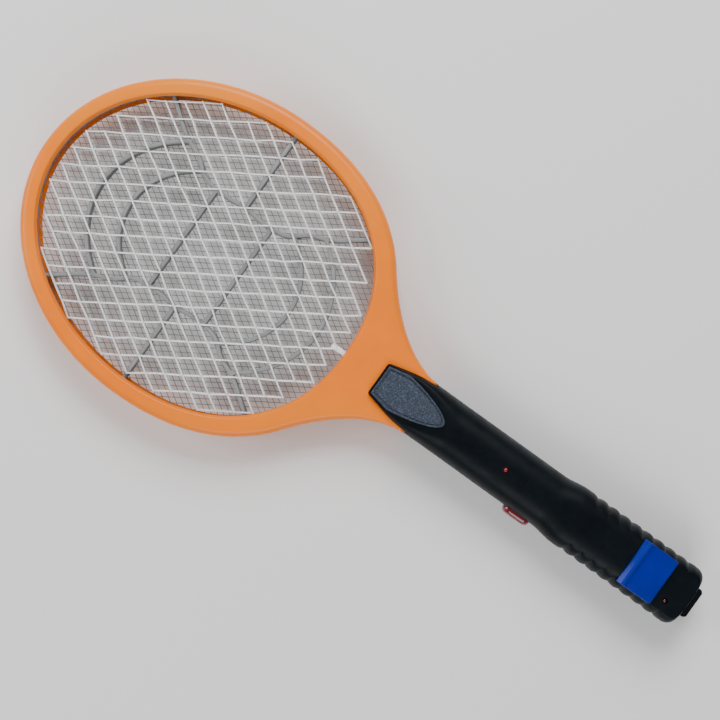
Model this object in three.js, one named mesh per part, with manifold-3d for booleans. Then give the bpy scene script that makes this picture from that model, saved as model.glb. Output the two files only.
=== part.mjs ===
// Electric fly swatter: a three-layer wire head on an orange frame, a black two-shell handle with the
// high-voltage circuit, two rechargeable cells and a retractable two-blade charging plug.
//
// Every piece is modelled in the assembly's own frame: x is the distance from the head's tip towards the
// tail, y is across (the push button is on the -y side), and z is measured from the swatter's mid-plane,
// positive towards the front. The assembly group then moves the whole swatter so that it rests on z = 0
// with its middle over the origin. Lengths are in millimetres.

import * as THREE from "three";
import { mergeVertices } from "three/addons/utils/BufferGeometryUtils.js";
import Module from "manifold-3d";

const wasm = await Module();
wasm.setup();

// ---------------------------------------------------------------- driving dimensions

// Head: an ellipse towards the tip, slightly squarer towards the throat.
const HEAD_TIP = 118; // head centre to the tip
const HEAD_THROAT = 112; // head centre to where the squarer half would close
const HEAD_HALF_WIDTH = 98.3;
const THROAT_SQUARENESS = 2.2; // exponent of the throat half's outline; 2 is an ellipse
const HEAD_DEPTH = 21;
const FRAME_ROUNDING = 2.6;

// Band between the frame's outline and the opening in its front and rear lips.
const BAND_TIP = 10;
const BAND_THROAT = 14;
const BAND_SIDE = 11.3;
const LIP_THICKNESS = 3;
const SEAT_WIDTH = 3.5; // how far the seat for the grids reaches under the lip

// Throat: the outline leaves the head's curve and runs into the neck.
const BLEND_SETBACK = 18; // from the head's own curve's end to where the squarer half would close
const BLEND_PULL = 12; // length along x that keeps the head's direction
const NECK_LENGTH = 60; // from the blend's start to the neck's end
const NECK_PULL = 26; // length along x that keeps the neck's direction
const NECK_HALF_WIDTH = 18;
const THROAT_WALL = 2.5;
const TANG_LENGTH = 24;
const TANG_HALF_WIDTH = 11;
const TANG_DEPTH = 16;

// Grids and the spacers between them.
const WIRE_ANGLE = THREE.MathUtils.degToRad(32.7); // each family of wires to the long axis
const WIRE_PITCH = 10.07; // between neighbouring coarse wires
const OUTER_GRID_STEP = 1; // coarse wires to one modelled wire
const MIDDLE_GRID_STEP = 4; // the fine mesh is drawn as an open lattice
const WIRE_WIDTH = 1.2;
const WIRE_THICKNESS = 1;
const GRID_UNDER_LIP = 1.5; // clear space between the lip and the outer grid
const GRID_REACH = 2.2; // how far the wires may reach under the lip
const SPACER_BAR = 3;
const SPOKE_SPLIT = 0.414; // where a spoke splits into its two arms, as a share of the opening's half width
const CONTACT_TAB_WIDTH = 3;
const CONTACT_TAB_REACH = 9; // past the opening, towards the handle
const LEAD_CHANNEL_HALF_WIDTH = 4;

// Handle.
const NOSE_OVERLAP = 31.6; // how far the shells' noses reach forward over the neck
const NOSE_HALF_WIDTH = 11;
const NOSE_SHOULDER = 16.6; // from the nose's front edge to its widest corner
const NOSE_SHOULDER_HALF_WIDTH = 15.4;
const NOSE_STEP = 2.5; // from the head's front face up to the nose's front edge
const NOSE_SLOPE_LENGTH = 52;
const NOSE_POWER = 5; // squareness of the section at the nose
const TUBE_LENGTH = 93; // plain tube, from the neck's end to the flare
const TUBE_HALF_WIDTH = 17.5;
const TUBE_POWER = 2.5;
const FLARE_LENGTH = 15;
const GRIP_LENGTH = 79; // from the flare's end to the round shoulder
const GRIP_HALF_WIDTH = 19.3;
const GRIP_POWER = 3;
const SHOULDER_LENGTH = 6;
const SHOULDER_DROP = 4.9;
const HANDLE_DEPTH = 35;
const SHELL_WALL = 2.2;
const RIDGE_PITCH = 8.15;
const RIDGE_DEPTH = 1.2;
const END_WALL = 3.5;

// Throat inlay: a shield let into the front nose.
const INLAY_LENGTH = 46;
const INLAY_SETBACK = 1.4;
const INLAY_FRONT_HALF_WIDTH = 9.6;
const INLAY_SHOULDER = 13.3;
const INLAY_SHOULDER_HALF_WIDTH = 12.3;
const INLAY_THICKNESS = 1.6;
const INLAY_SUNK = 1.2;

// Push button on the -y side, and the tact switch behind it.
const BUTTON_FROM_NECK = 82; // from the neck's end to the button's middle
const BUTTON_LENGTH = 18.5;
const BUTTON_HEIGHT = 9.6;
const BUTTON_PROUD = 3.6;
const BUTTON_ROUNDING = 2.4;
const BUTTON_TRAVEL = 1.4;
const BUTTON_FLANGE = 1.5; // how far the flange stands out around the button
const BUTTON_FLANGE_THICKNESS = 1.2;
const SWITCH_SIZE = 6;
const SWITCH_DEPTH = 4.2;
const PLUNGER_RADIUS = 1.6;
const PLUNGER_LENGTH = 3;

// Charging plug: blue slider, carriage, blades, tail cap.
const TRACK_DROP = 3.3; // the flat track for the slider below the handle's front
const SLIDER_LENGTH = 25.3;
const SLIDER_HALF_WIDTH = 15;
const SLIDER_HEIGHT = 2.9;
const SLIDER_RIDGE_HEIGHT = 4.4;
const SLIDER_REAR_HEIGHT = 2.1;
const SLIDER_CORNER = 4;
const SLIDER_TRAVEL = 16;
const STEM_LENGTH = 5.4;
const STEM_HALF_WIDTH = 2.7;
const STEM_SETBACK = 2.6; // from the slider's front edge to its stem
const CARRIAGE_LENGTH = 18.4;
const CARRIAGE_HALF_WIDTH = 9;
const CARRIAGE_HALF_HEIGHT = 4.5;
const CARRIAGE_SHOULDER = 0.5; // from the carriage's front to the slider's stem
const CARRIAGE_STOP = 0.5; // left between the carriage and the cap's flange when the plug is out
const BLADE_SPACING = 12.7;
const BLADE_THICKNESS = 1.5;
const BLADE_WIDTH = 6.3;
const BLADE_SUNK = 1; // blade tips behind the tail cap's face when stowed
const BLADE_HELD = 7; // length of blade inside the carriage
const CARRIAGE_SOCKET = 3; // how deep the slider's stem sits in the carriage
const CAP_HALF_WIDTH = 9.75;
const CAP_HALF_HEIGHT = 6.5;
const CAP_PROUD = 5;
const CAP_CHAMFER = 1.5;
const CAP_FLANGE = 2.2;

// Electronics.
const BOARD_LENGTH = 62.5;
const BOARD_THICKNESS = 1.6;
const BOARD_TOP = -3.2;
const LED_FROM_NECK = 60;
const LED_RADIUS = 1.5;
const CHARGE_LED_BEHIND_SLIDER = 5.2;
const CHARGE_LED_Y = -8;
const CELL_RADIUS = 7.1;
const CELL_LENGTH = 48.5;
const CHARGER_LENGTH = 33;
const CHARGER_TOP = -10;
const LEAD_RADIUS = 0.7;

// Screws.
const SCREW_RADIUS = 1.1;
const SCREW_HEAD_RADIUS = 2.2;
const SCREW_HEAD_HEIGHT = 1.4;
const BOSS_RADIUS = 3;
const COUNTERBORE_RADIUS = 2.5;
const BOARD_POST_RADIUS = 1.7;
const HEAD_SCREW_ANGLES = [35, 90, 145, 215, 270, 325]; // degrees round the head from the tail side
const HEAD_COUNTERBORE = 5.2;
const HANDLE_COUNTERBORE = 8;

// Clearances.
const FIT = 0.3; // around anything that slides, drops in or passes through
const REST = 0.1; // under a piece that stands on another
const SEAM = 0.15; // from the mid-plane to each half of the frame and of the handle
const FAR = 500; // past every piece, for the blocks that trim

// ---------------------------------------------------------------- sizes that follow from them

const HEAD_X = HEAD_TIP; // head centre
const OPENING_TIP = HEAD_TIP - BAND_TIP;
const OPENING_THROAT = HEAD_THROAT - BAND_THROAT;
const OPENING_HALF_WIDTH = HEAD_HALF_WIDTH - BAND_SIDE;
const BLEND_START = HEAD_THROAT - BLEND_SETBACK;
const NECK_END = HEAD_X + BLEND_START + NECK_LENGTH;
const TANG_END = NECK_END + TANG_LENGTH;
const NOSE_START = NECK_END - NOSE_OVERLAP;
const FLARE_START = NECK_END + TUBE_LENGTH;
const GRIP_START = FLARE_START + FLARE_LENGTH;
const SHOULDER_START = GRIP_START + GRIP_LENGTH;
const HANDLE_END = SHOULDER_START + SHOULDER_LENGTH;
const CAP_END = HANDLE_END + CAP_PROUD;
const HALF_DEPTH = HANDLE_DEPTH / 2;
const HEAD_HALF_DEPTH = HEAD_DEPTH / 2;
const LIP_UNDER = HEAD_HALF_DEPTH - LIP_THICKNESS;
const NOSE_FRONT_HEIGHT = HEAD_HALF_DEPTH + NOSE_STEP;
const GRID_LEVEL = LIP_UNDER - GRID_UNDER_LIP - WIRE_THICKNESS; // underside of the front grid
const CAVITY_START = NECK_END + FIT + SHELL_WALL;
const CAVITY_END = HANDLE_END - END_WALL;
const BOARD_START = TANG_END + 3.5;
const BOARD_UNDER = BOARD_TOP - BOARD_THICKNESS;
const BOARD_SCREW_X = BOARD_START + BOARD_LENGTH + BOSS_RADIUS + 1.5;
const CELL_START = BOARD_SCREW_X + BOSS_RADIUS + 1.5;
const TRACK_HEIGHT = HALF_DEPTH - TRACK_DROP;
const TRACK_CEILING = TRACK_HEIGHT - SHELL_WALL;
const CARRIAGE_END = CAVITY_END - FIT - CAP_FLANGE - CARRIAGE_STOP - SLIDER_TRAVEL;
const CARRIAGE_START = CARRIAGE_END - CARRIAGE_LENGTH;
const STEM_START = CARRIAGE_START + CARRIAGE_SHOULDER;
const SLIDER_START = STEM_START - STEM_SETBACK;
const SLIDER_BASE = TRACK_HEIGHT + FIT;
const TRACK_START = SLIDER_START - FIT - REST;
const CHARGER_START = CARRIAGE_START - REST;
const BLADE_ROOT = CARRIAGE_END - BLADE_HELD;
const TAIL_SCREW_X = SHOULDER_START - 14;
const TAIL_SCREW_Y = GRIP_HALF_WIDTH - RIDGE_DEPTH - SHELL_WALL - BOSS_RADIUS - FIT;
const CHARGER_HALF_WIDTH = TAIL_SCREW_Y - BOSS_RADIUS - FIT; // between the posts of the tail's screws
const BUTTON_X = NECK_END + BUTTON_FROM_NECK;
const LED_X = NECK_END + LED_FROM_NECK;
const CHARGE_LED_X = SLIDER_START + SLIDER_LENGTH + CHARGE_LED_BEHIND_SLIDER;
const INNER_INSET = SHELL_WALL + RIDGE_DEPTH / 2; // the cavity's side below the tube's surface
const FLANGE_OUT = -TUBE_HALF_WIDTH + INNER_INSET + FIT; // outer face of the button's flange
const SWITCH_FACE = FLANGE_OUT + BUTTON_FLANGE_THICKNESS + BUTTON_TRAVEL + FIT;
const BOARD_HALF_WIDTH = -SWITCH_FACE; // the pressed button stops short of the board

// ---------------------------------------------------------------- materials

const finish = (color, roughness, metalness = 0) => new THREE.MeshStandardMaterial({ color, roughness, metalness });
const ORANGE = finish(0xf58a12, 0.4);
const BLACK = finish(0x0b1013, 0.45);
const INLAY_GREY = finish(0x46535f, 0.7);
const SPACER_GREY = finish(0x8d9093, 0.5);
const WIRE = finish(0xd9dadb, 0.3, 1);
const BLUE = finish(0x0a3aa0, 0.3);
const RED = finish(0x7a0a1e, 0.2);
const NYLON = finish(0x1c1f22, 0.5);
const BRASS = finish(0xc9a75a, 0.3, 1);
const STEEL = finish(0xb9bcc0, 0.35, 1);
const BOARD_GREEN = finish(0x2f6b3a, 0.5);
const FERRITE = finish(0x3a3a3d, 0.6);
const TAPE = finish(0xd9b33a, 0.5);
const FILM = finish(0x8e3b22, 0.4);
const EPOXY = finish(0x17181a, 0.5);
const CERAMIC = finish(0xcbb48a, 0.5);
const CELL_SLEEVE = finish(0x2c7a4e, 0.4);
const INSULATION_RED = finish(0xb01f1f, 0.5);
const INSULATION_BLACK = finish(0x15171a, 0.5);
const INSULATION_WHITE = finish(0xe4e2dc, 0.5);

// ---------------------------------------------------------------- solids

// A closed three.js geometry as a solid that can be joined and cut.
function solid(geometry) {
  const bare = geometry.clone();
  bare.deleteAttribute("normal");
  bare.deleteAttribute("uv");
  const merged = mergeVertices(bare, 1e-4);
  const mesh = new wasm.Mesh({
    numProp: 3,
    vertProperties: merged.attributes.position.array,
    triVerts: new Uint32Array(merged.index.array),
  });
  return new wasm.Manifold(mesh);
}

// A solid as a named mesh of the assembly.
function piece(name, material, made) {
  const mesh = made.getMesh();
  const geometry = new THREE.BufferGeometry();
  geometry.setAttribute("position", new THREE.BufferAttribute(new Float32Array(mesh.vertProperties), 3));
  geometry.setIndex(new THREE.BufferAttribute(mesh.triVerts, 1));
  geometry.computeVertexNormals();
  const named = new THREE.Mesh(geometry, material);
  named.name = name;
  return named;
}

const joined = (solids) => solids.reduce((whole, next) => whole.add(next));

function block(x0, x1, y0, y1, z0, z1) {
  const geometry = new THREE.BoxGeometry(x1 - x0, y1 - y0, z1 - z0);
  return solid(geometry.translate((x0 + x1) / 2, (y0 + y1) / 2, (z0 + z1) / 2));
}

// A cylinder between two points.
function rod(from, to, radius, sides = 8) {
  const start = new THREE.Vector3(...from);
  const along = new THREE.Vector3(...to).sub(start);
  const geometry = new THREE.CylinderGeometry(radius, radius, along.length(), sides);
  geometry.translate(0, along.length() / 2, 0);
  const up = new THREE.Vector3(0, 1, 0);
  geometry.applyQuaternion(new THREE.Quaternion().setFromUnitVectors(up, along.normalize()));
  return solid(geometry.translate(...from));
}

// A flat outline in x and y, from one height to another, with its edges rounded if asked.
function plate(shape, z0, z1, rounding = 0, curveSegments = 8) {
  const options = { depth: z1 - z0, bevelEnabled: false, curveSegments };
  if (rounding) {
    options.bevelEnabled = true;
    options.depth -= 2 * rounding;
    options.bevelSize = options.bevelThickness = rounding;
    options.bevelOffset = -rounding;
    options.bevelSegments = 1;
  }
  const geometry = new THREE.ExtrudeGeometry(shape, options);
  return solid(geometry.translate(0, 0, z0 + rounding));
}

// An outline in x and z, from one y to another.
function sidePlate(shape, y0, y1, curveSegments = 8) {
  const options = { depth: y1 - y0, bevelEnabled: false, curveSegments };
  const geometry = new THREE.ExtrudeGeometry(shape, options);
  return solid(geometry.rotateX(Math.PI / 2).translate(0, y1, 0));
}

// A profile of [radius, height] pairs turned about a line along z.
function turned(profile, x, y, z, sides = 8) {
  const points = profile.map(([radius, height]) => new THREE.Vector2(radius, height));
  const geometry = new THREE.LatheGeometry(points, sides);
  return solid(geometry.rotateX(Math.PI / 2).translate(x, y, z));
}

const polygon = (points) => new THREE.Shape(points.map(([x, y]) => new THREE.Vector2(x, y)));

// A thin insulated lead or round wire along a smooth line through the given points.
function lead(points, radius, steps = 14) {
  const path = new THREE.CatmullRomCurve3(points.map((p) => new THREE.Vector3(...p)));
  const section = new THREE.Shape().absarc(0, 0, radius, 0, 2 * Math.PI);
  return solid(new THREE.ExtrudeGeometry(section, { steps, extrudePath: path, curveSegments: 3 }));
}

// A flat strip of even width that follows a curve in x and y.
function strip(curve, width, z0, z1, steps) {
  const left = [];
  const right = [];
  for (let i = 0; i <= steps; i++) {
    const at = curve.getPoint(i / steps);
    const along = curve.getTangent(i / steps);
    const out = new THREE.Vector2(-along.y, along.x).multiplyScalar(width / 2);
    left.push(new THREE.Vector2(at.x + out.x, at.y + out.y));
    right.unshift(new THREE.Vector2(at.x - out.x, at.y - out.y));
  }
  return plate(new THREE.Shape([...left, ...right]), z0, z1);
}

const mirroredY = (made) => made.mirror([0, 1, 0]);
const mirroredZ = (made) => made.mirror([0, 0, 1]);

// ---------------------------------------------------------------- outlines of the head

// A point on the head's curve: an ellipse towards the tip, squarer towards the throat.
function headPoint(angle, tip, throat, halfWidth) {
  const c = Math.cos(angle);
  const s = Math.sin(angle);
  if (c <= 0) return new THREE.Vector2(HEAD_X + tip * c, halfWidth * s);
  const power = 2 / THROAT_SQUARENESS;
  return new THREE.Vector2(HEAD_X + throat * c ** power, halfWidth * Math.sign(s) * Math.abs(s) ** power);
}

// The opening's outline, grown outwards by a distance.
function openingPoint(angle, grow) {
  return headPoint(angle, OPENING_TIP + grow, OPENING_THROAT + grow, OPENING_HALF_WIDTH + grow);
}

function openingShape(grow, segments = 32) {
  const points = [];
  for (let i = 0; i < segments; i++) points.push(openingPoint((2 * Math.PI * i) / segments, grow));
  return new THREE.Shape(points);
}

// Whether a point lies inside the opening grown by a distance.
function insideOpening(x, y, grow) {
  const towardsThroat = x > HEAD_X;
  const reach = (towardsThroat ? OPENING_THROAT : OPENING_TIP) + grow;
  const power = towardsThroat ? THROAT_SQUARENESS : 2;
  const across = Math.abs(y) / (OPENING_HALF_WIDTH + grow);
  return (Math.abs(x - HEAD_X) / reach) ** power + across ** power < 1;
}

// The frame's outer outline: the head, the blend into the throat and the neck's square end.
function frameShape(segments = 34) {
  const share = BLEND_START / HEAD_THROAT;
  const blendAngle = Math.acos(share ** (THROAT_SQUARENESS / 2));
  const curve = (angle) => headPoint(angle, HEAD_TIP, HEAD_THROAT, HEAD_HALF_WIDTH);
  const start = curve(blendAngle);
  const ahead = curve(blendAngle - 0.001);
  const fall = (start.y - ahead.y) / (ahead.x - start.x);
  const pulled = start.y - BLEND_PULL * fall;
  const shape = new THREE.Shape();
  shape.moveTo(start.x, start.y);
  const sweep = 2 * Math.PI - 2 * blendAngle;
  for (let i = 1; i <= segments; i++) {
    const p = curve(blendAngle + (sweep * i) / segments);
    shape.lineTo(p.x, p.y);
  }
  const bend = [start.x + BLEND_PULL, pulled, NECK_END - NECK_PULL, NECK_HALF_WIDTH + 1.6];
  shape.bezierCurveTo(bend[0], -bend[1], bend[2], -bend[3], NECK_END, -NECK_HALF_WIDTH);
  shape.lineTo(NECK_END, NECK_HALF_WIDTH);
  shape.bezierCurveTo(bend[2], bend[3], bend[0], bend[1], start.x, start.y);
  return shape;
}

// ---------------------------------------------------------------- head

const headScrewAt = HEAD_SCREW_ANGLES.map((degrees) => {
  const angle = THREE.MathUtils.degToRad(degrees);
  const outer = headPoint(angle, HEAD_TIP, HEAD_THROAT, HEAD_HALF_WIDTH);
  const inner = openingPoint(angle, SEAT_WIDTH / 2);
  return [(outer.x + inner.x) / 2, (outer.y + inner.y) / 2];
});
const TANG_SCREW_Y = (TANG_HALF_WIDTH + LEAD_CHANNEL_HALF_WIDTH) / 2;
const TANG_SCREW_X = NECK_END + TANG_LENGTH / 2;
const TAB_END = HEAD_X + OPENING_THROAT + CONTACT_TAB_REACH;

// The hollow beside the lead channel that leaves the throat's walls and a rib along the channel.
function throatHollow() {
  const rib = LEAD_CHANNEL_HALF_WIDTH + THROAT_WALL;
  const front = HEAD_X + OPENING_THROAT + SEAT_WIDTH + THROAT_WALL + 1;
  const back = NECK_END - THROAT_WALL;
  const side = NECK_HALF_WIDTH - THROAT_WALL;
  const outline = [
    [front, rib],
    [back, rib],
    [back, side],
    [back - 18, side + 4],
    [front + 6, side + 16],
    [front, side + 20],
  ];
  return plate(polygon(outline), -1, LIP_UNDER);
}

// The front half of the frame; the rear half is its mirror image until the screw holes are cut.
function frameHalf() {
  const shape = frameShape();
  shape.holes.push(openingShape(0));
  let half = plate(shape, -HEAD_HALF_DEPTH, HEAD_HALF_DEPTH, FRAME_ROUNDING);
  half = half.subtract(block(-FAR, FAR, -FAR, FAR, -HEAD_DEPTH, SEAM));
  half = half.subtract(plate(openingShape(SEAT_WIDTH), -1, LIP_UNDER));
  half = half.add(block(NECK_END - 1, TANG_END, -TANG_HALF_WIDTH, TANG_HALF_WIDTH, SEAM, TANG_DEPTH / 2));
  const hollow = throatHollow();
  half = half.subtract(hollow).subtract(mirroredY(hollow));
  const channel = LEAD_CHANNEL_HALF_WIDTH;
  const tall = GRID_LEVEL + WIRE_THICKNESS + FIT;
  half = half.subtract(block(HEAD_X + OPENING_THROAT, TAB_END + 14, -channel, channel, -1, tall));
  return half.subtract(block(TAB_END, TANG_END + 1, -channel, channel, -1, TANG_DEPTH / 4));
}

function tangHoles(z0, z1) {
  const sides = [-TANG_SCREW_Y, TANG_SCREW_Y];
  return joined(sides.map((y) => rod([TANG_SCREW_X, y, z0], [TANG_SCREW_X, y, z1], SCREW_RADIUS + FIT)));
}

function headFrontFrame() {
  const pilots = headScrewAt.map(([x, y]) => rod([x, y, -1], [x, y, LIP_UNDER - 1.5], SCREW_RADIUS + FIT));
  return frameHalf().subtract(joined(pilots)).subtract(tangHoles(-1, TANG_DEPTH));
}

function headRearFrame() {
  const holes = headScrewAt.map(([x, y]) => {
    const shank = rod([x, y, -HEAD_DEPTH], [x, y, 1], SCREW_RADIUS + FIT);
    const seat = -HEAD_HALF_DEPTH + HEAD_COUNTERBORE;
    return shank.add(rod([x, y, -HEAD_DEPTH], [x, y, seat], COUNTERBORE_RADIUS));
  });
  return mirroredZ(frameHalf()).subtract(joined(holes)).subtract(tangHoles(-TANG_DEPTH, 1));
}

// A grid of crossing wires whose ends are trimmed at their last crossing, with a contact tab.
function grid(step, z0) {
  const pitch = WIRE_PITCH * step;
  const du = pitch / 2 / Math.sin(WIRE_ANGLE);
  const dv = pitch / 2 / Math.cos(WIRE_ANGLE);
  const reach = Math.ceil((HEAD_TIP + HEAD_HALF_WIDTH) / pitch) + 1;
  const crossing = (i, j) => [HEAD_X + (i + j) * du, (i - j) * dv];
  const wires = [];
  for (const swapped of [false, true]) {
    for (let i = -reach; i <= reach; i++) {
      const kept = [];
      for (let j = -reach; j <= reach; j++) {
        const at = swapped ? crossing(j, i) : crossing(i, j);
        if (insideOpening(...at, GRID_REACH)) kept.push(at);
      }
      if (kept.length < 2) continue;
      const first = new THREE.Vector2(...kept[0]);
      const last = new THREE.Vector2(...kept[kept.length - 1]);
      const turn = THREE.MathUtils.radToDeg(last.clone().sub(first).angle());
      const wire = wasm.CrossSection.square([first.distanceTo(last) + WIRE_WIDTH, WIRE_WIDTH], true);
      wires.push(wire.rotate(turn).translate([(first.x + last.x) / 2, (first.y + last.y) / 2]));
    }
  }
  const lastOnAxis = Math.floor((OPENING_THROAT + GRID_REACH) / (2 * du)) * 2 * du;
  const tabStart = HEAD_X + lastOnAxis;
  const tab = wasm.CrossSection.square([TAB_END - tabStart, CONTACT_TAB_WIDTH]);
  wires.push(tab.translate([tabStart, -CONTACT_TAB_WIDTH / 2]));
  const outline = wasm.CrossSection.union(wires).simplify(REST);
  return outline.extrude(WIRE_THICKNESS).translate([0, 0, z0]);
}

// The moulded spider: spokes and curved arms on an outer ring, the same on both sides of both axes.
function spacer() {
  const z0 = WIRE_THICKNESS / 2 + FIT;
  const z1 = GRID_LEVEL - FIT;
  const ring = openingShape(SEAT_WIDTH - FIT);
  ring.holes.push(openingShape(0.4));
  const inOpening = (u, v) => new THREE.Vector2(HEAD_X + u * OPENING_TIP, v * OPENING_HALF_WIDTH);
  const spoke = new THREE.LineCurve(inOpening(0, SPOKE_SPLIT), inOpening(0, 1.01));
  const quarter = [strip(spoke, SPACER_BAR, z0, z1, 1)];
  const armPoints = [inOpening(0, SPOKE_SPLIT), inOpening(0.157, 0.397), inOpening(0.278, 0.425)];
  armPoints.push(inOpening(0.37, 0.511), inOpening(0.5, 0.586), inOpening(0.674, 0.749));
  for (const way of [1, -1]) {
    const points = armPoints.map((p) => new THREE.Vector2(HEAD_X + way * (p.x - HEAD_X), p.y));
    quarter.push(strip(new THREE.SplineCurve(points), SPACER_BAR, z0, z1, 5));
    const rung = new THREE.LineCurve(inOpening(way * 0.185, 0), inOpening(way * 0.185, 0.402));
    quarter.push(strip(rung, SPACER_BAR, z0, z1, 1));
    for (const [along, across, sweep] of [
      [0.722, 0.724, 0.9],
      [0.528, 0.552, 0.95],
    ]) {
      const start = way > 0 ? 0 : Math.PI - sweep;
      const radii = [along * OPENING_TIP, across * OPENING_HALF_WIDTH];
      const arc = new THREE.EllipseCurve(HEAD_X, 0, ...radii, start, start + sweep);
      quarter.push(strip(arc, SPACER_BAR, z0, z1, 3));
    }
  }
  const upper = joined(quarter);
  const seatLimit = plate(openingShape(SEAT_WIDTH - FIT), z0 - 1, z1 + 1);
  const spider = upper.add(mirroredY(upper)).intersect(seatLimit).add(plate(ring, z0, z1));
  const notch = LEAD_CHANNEL_HALF_WIDTH + 0.5;
  return spider.subtract(block(HEAD_X + OPENING_THROAT - 4, NECK_END, -notch, notch, z0 - 1, z1 + 1));
}

// ---------------------------------------------------------------- handle

const mix = (a, b, t) => a + (b - a) * Math.min(1, Math.max(0, t));

function handleHalfWidth(x) {
  const shoulder = NOSE_START + NOSE_SHOULDER;
  if (x < shoulder) return mix(NOSE_HALF_WIDTH, NOSE_SHOULDER_HALF_WIDTH, (x - NOSE_START) / NOSE_SHOULDER);
  if (x < NECK_END) return mix(NOSE_SHOULDER_HALF_WIDTH, TUBE_HALF_WIDTH, (x - shoulder) / (NECK_END - shoulder));
  const grip = mix(TUBE_HALF_WIDTH, GRIP_HALF_WIDTH, (x - FLARE_START) / FLARE_LENGTH);
  return grip - shoulderDrop(x);
}

function shoulderDrop(x) {
  const t = Math.min(1, Math.max(0, (x - SHOULDER_START) / SHOULDER_LENGTH));
  return SHOULDER_DROP * (1 - Math.sqrt(1 - t * t));
}

function handlePower(x) {
  const slopeEnd = NOSE_START + NOSE_SLOPE_LENGTH;
  if (x < slopeEnd) return mix(NOSE_POWER, TUBE_POWER, (x - NOSE_START) / NOSE_SLOPE_LENGTH);
  return mix(TUBE_POWER, GRIP_POWER, (x - FLARE_START) / FLARE_LENGTH);
}

// How far the grip's side is cut in at x: a sharp valley at each whole pitch, round ridges between them.
function ridgeCut(x) {
  if (x < GRIP_START + RIDGE_PITCH / 2 || x > SHOULDER_START) return 0;
  const phase = Math.abs(Math.sin((Math.PI * (x - GRIP_START)) / RIDGE_PITCH));
  return RIDGE_DEPTH * (1 - phase ** 0.6);
}

// A solid with the handle's section at each station, set in from the outside by a distance.
function handleForm(stations, inset, ridged, sides = 20) {
  const rings = stations.length - 1;
  const halfStep = Math.PI / sides;
  const geometry = new THREE.CylinderGeometry(1, 1, rings, sides, rings, false, halfStep);
  const position = geometry.attributes.position;
  for (let i = 0; i < position.count; i++) {
    const x = stations[Math.round(position.getY(i) + rings / 2)];
    const across = position.getZ(i);
    const up = position.getX(i);
    const power = 2 / handlePower(x);
    const onSide = Math.min(1, Math.max(0, (Math.abs(across) - 0.45) / 0.35));
    const cut = ridged ? ridgeCut(x) * onSide : 0;
    const reach = Math.cos(halfStep) ** power; // a flat lies on each axis, so its height is the full size
    const width = (handleHalfWidth(x) - inset - cut) / reach;
    const depth = (HALF_DEPTH - inset - shoulderDrop(x)) / reach;
    const y = width * Math.sign(across) * Math.abs(across) ** power;
    const z = depth * Math.sign(up) * Math.abs(up) ** power;
    position.setXYZ(i, x, y, z);
  }
  return solid(geometry);
}

function outerStations() {
  const stations = [NOSE_START, NOSE_START + NOSE_SHOULDER, NECK_END, NOSE_START + NOSE_SLOPE_LENGTH];
  stations.push(FLARE_START, FLARE_START + FLARE_LENGTH / 2);
  const ridges = Math.floor(GRIP_LENGTH / RIDGE_PITCH);
  for (let i = 0; i < ridges; i++) {
    for (const t of [0, 0.32, 0.68]) stations.push(GRIP_START + (i + t) * RIDGE_PITCH);
  }
  stations.push(GRIP_START + ridges * RIDGE_PITCH, SHOULDER_START + 0.01);
  for (const t of [0.5, 0.8, 1]) stations.push(SHOULDER_START + t * SHOULDER_LENGTH);
  return stations;
}

const NOSE_SLOPE = Math.atan2(HALF_DEPTH - NOSE_FRONT_HEIGHT, NOSE_SLOPE_LENGTH);

// Everything above the nose's sloping top, lowered by a distance.
function aboveNose(lowered) {
  const geometry = new THREE.BoxGeometry(FAR, FAR, FAR).translate(FAR / 2 - HANDLE_DEPTH, 0, FAR / 2);
  geometry.rotateY(-NOSE_SLOPE).translate(NOSE_START, 0, NOSE_FRONT_HEIGHT - lowered);
  return solid(geometry);
}

// The shield's outline, with x from its front edge, grown by a distance.
function shieldShape(grow) {
  const shape = new THREE.Shape();
  const wide = INLAY_SHOULDER_HALF_WIDTH + grow;
  const front = INLAY_FRONT_HALF_WIDTH + grow;
  const tip = INLAY_LENGTH + grow;
  const tipPull = 5.5 + grow;
  shape.moveTo(-grow, -front);
  shape.lineTo(INLAY_SHOULDER, -wide);
  shape.bezierCurveTo(INLAY_SHOULDER + 12, -wide + 1.5, tip, -tipPull, tip, 0);
  shape.bezierCurveTo(tip, tipPull, INLAY_SHOULDER + 12, wide - 1.5, INLAY_SHOULDER, wide);
  shape.lineTo(-grow, front);
  shape.closePath();
  return shape;
}

// The inlay, or the recess for it, laid on the nose's sloping top.
function inlaySolid(grow, thickness) {
  const shape = shieldShape(grow);
  const options = { depth: thickness, bevelEnabled: false, curveSegments: 8 };
  const geometry = new THREE.ExtrudeGeometry(shape, options);
  geometry.translate(INLAY_SETBACK, 0, -INLAY_SUNK);
  geometry.rotateY(-NOSE_SLOPE).translate(NOSE_START, 0, NOSE_FRONT_HEIGHT);
  return solid(geometry);
}

// The button's outline in x and z, as a capsule grown by a distance.
function capsuleShape(grow) {
  const radius = BUTTON_HEIGHT / 2 + grow;
  const straight = (BUTTON_LENGTH - BUTTON_HEIGHT) / 2;
  const shape = new THREE.Shape();
  shape.absarc(BUTTON_X + straight, 0, radius, -Math.PI / 2, Math.PI / 2);
  shape.absarc(BUTTON_X - straight, 0, radius, Math.PI / 2, (3 * Math.PI) / 2);
  shape.closePath();
  return shape;
}

const handleScrewAt = [
  [TANG_SCREW_X, -TANG_SCREW_Y],
  [TANG_SCREW_X, TANG_SCREW_Y],
  [BOARD_SCREW_X, 0],
  [TAIL_SCREW_X, -TAIL_SCREW_Y],
  [TAIL_SCREW_X, TAIL_SCREW_Y],
];

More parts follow.
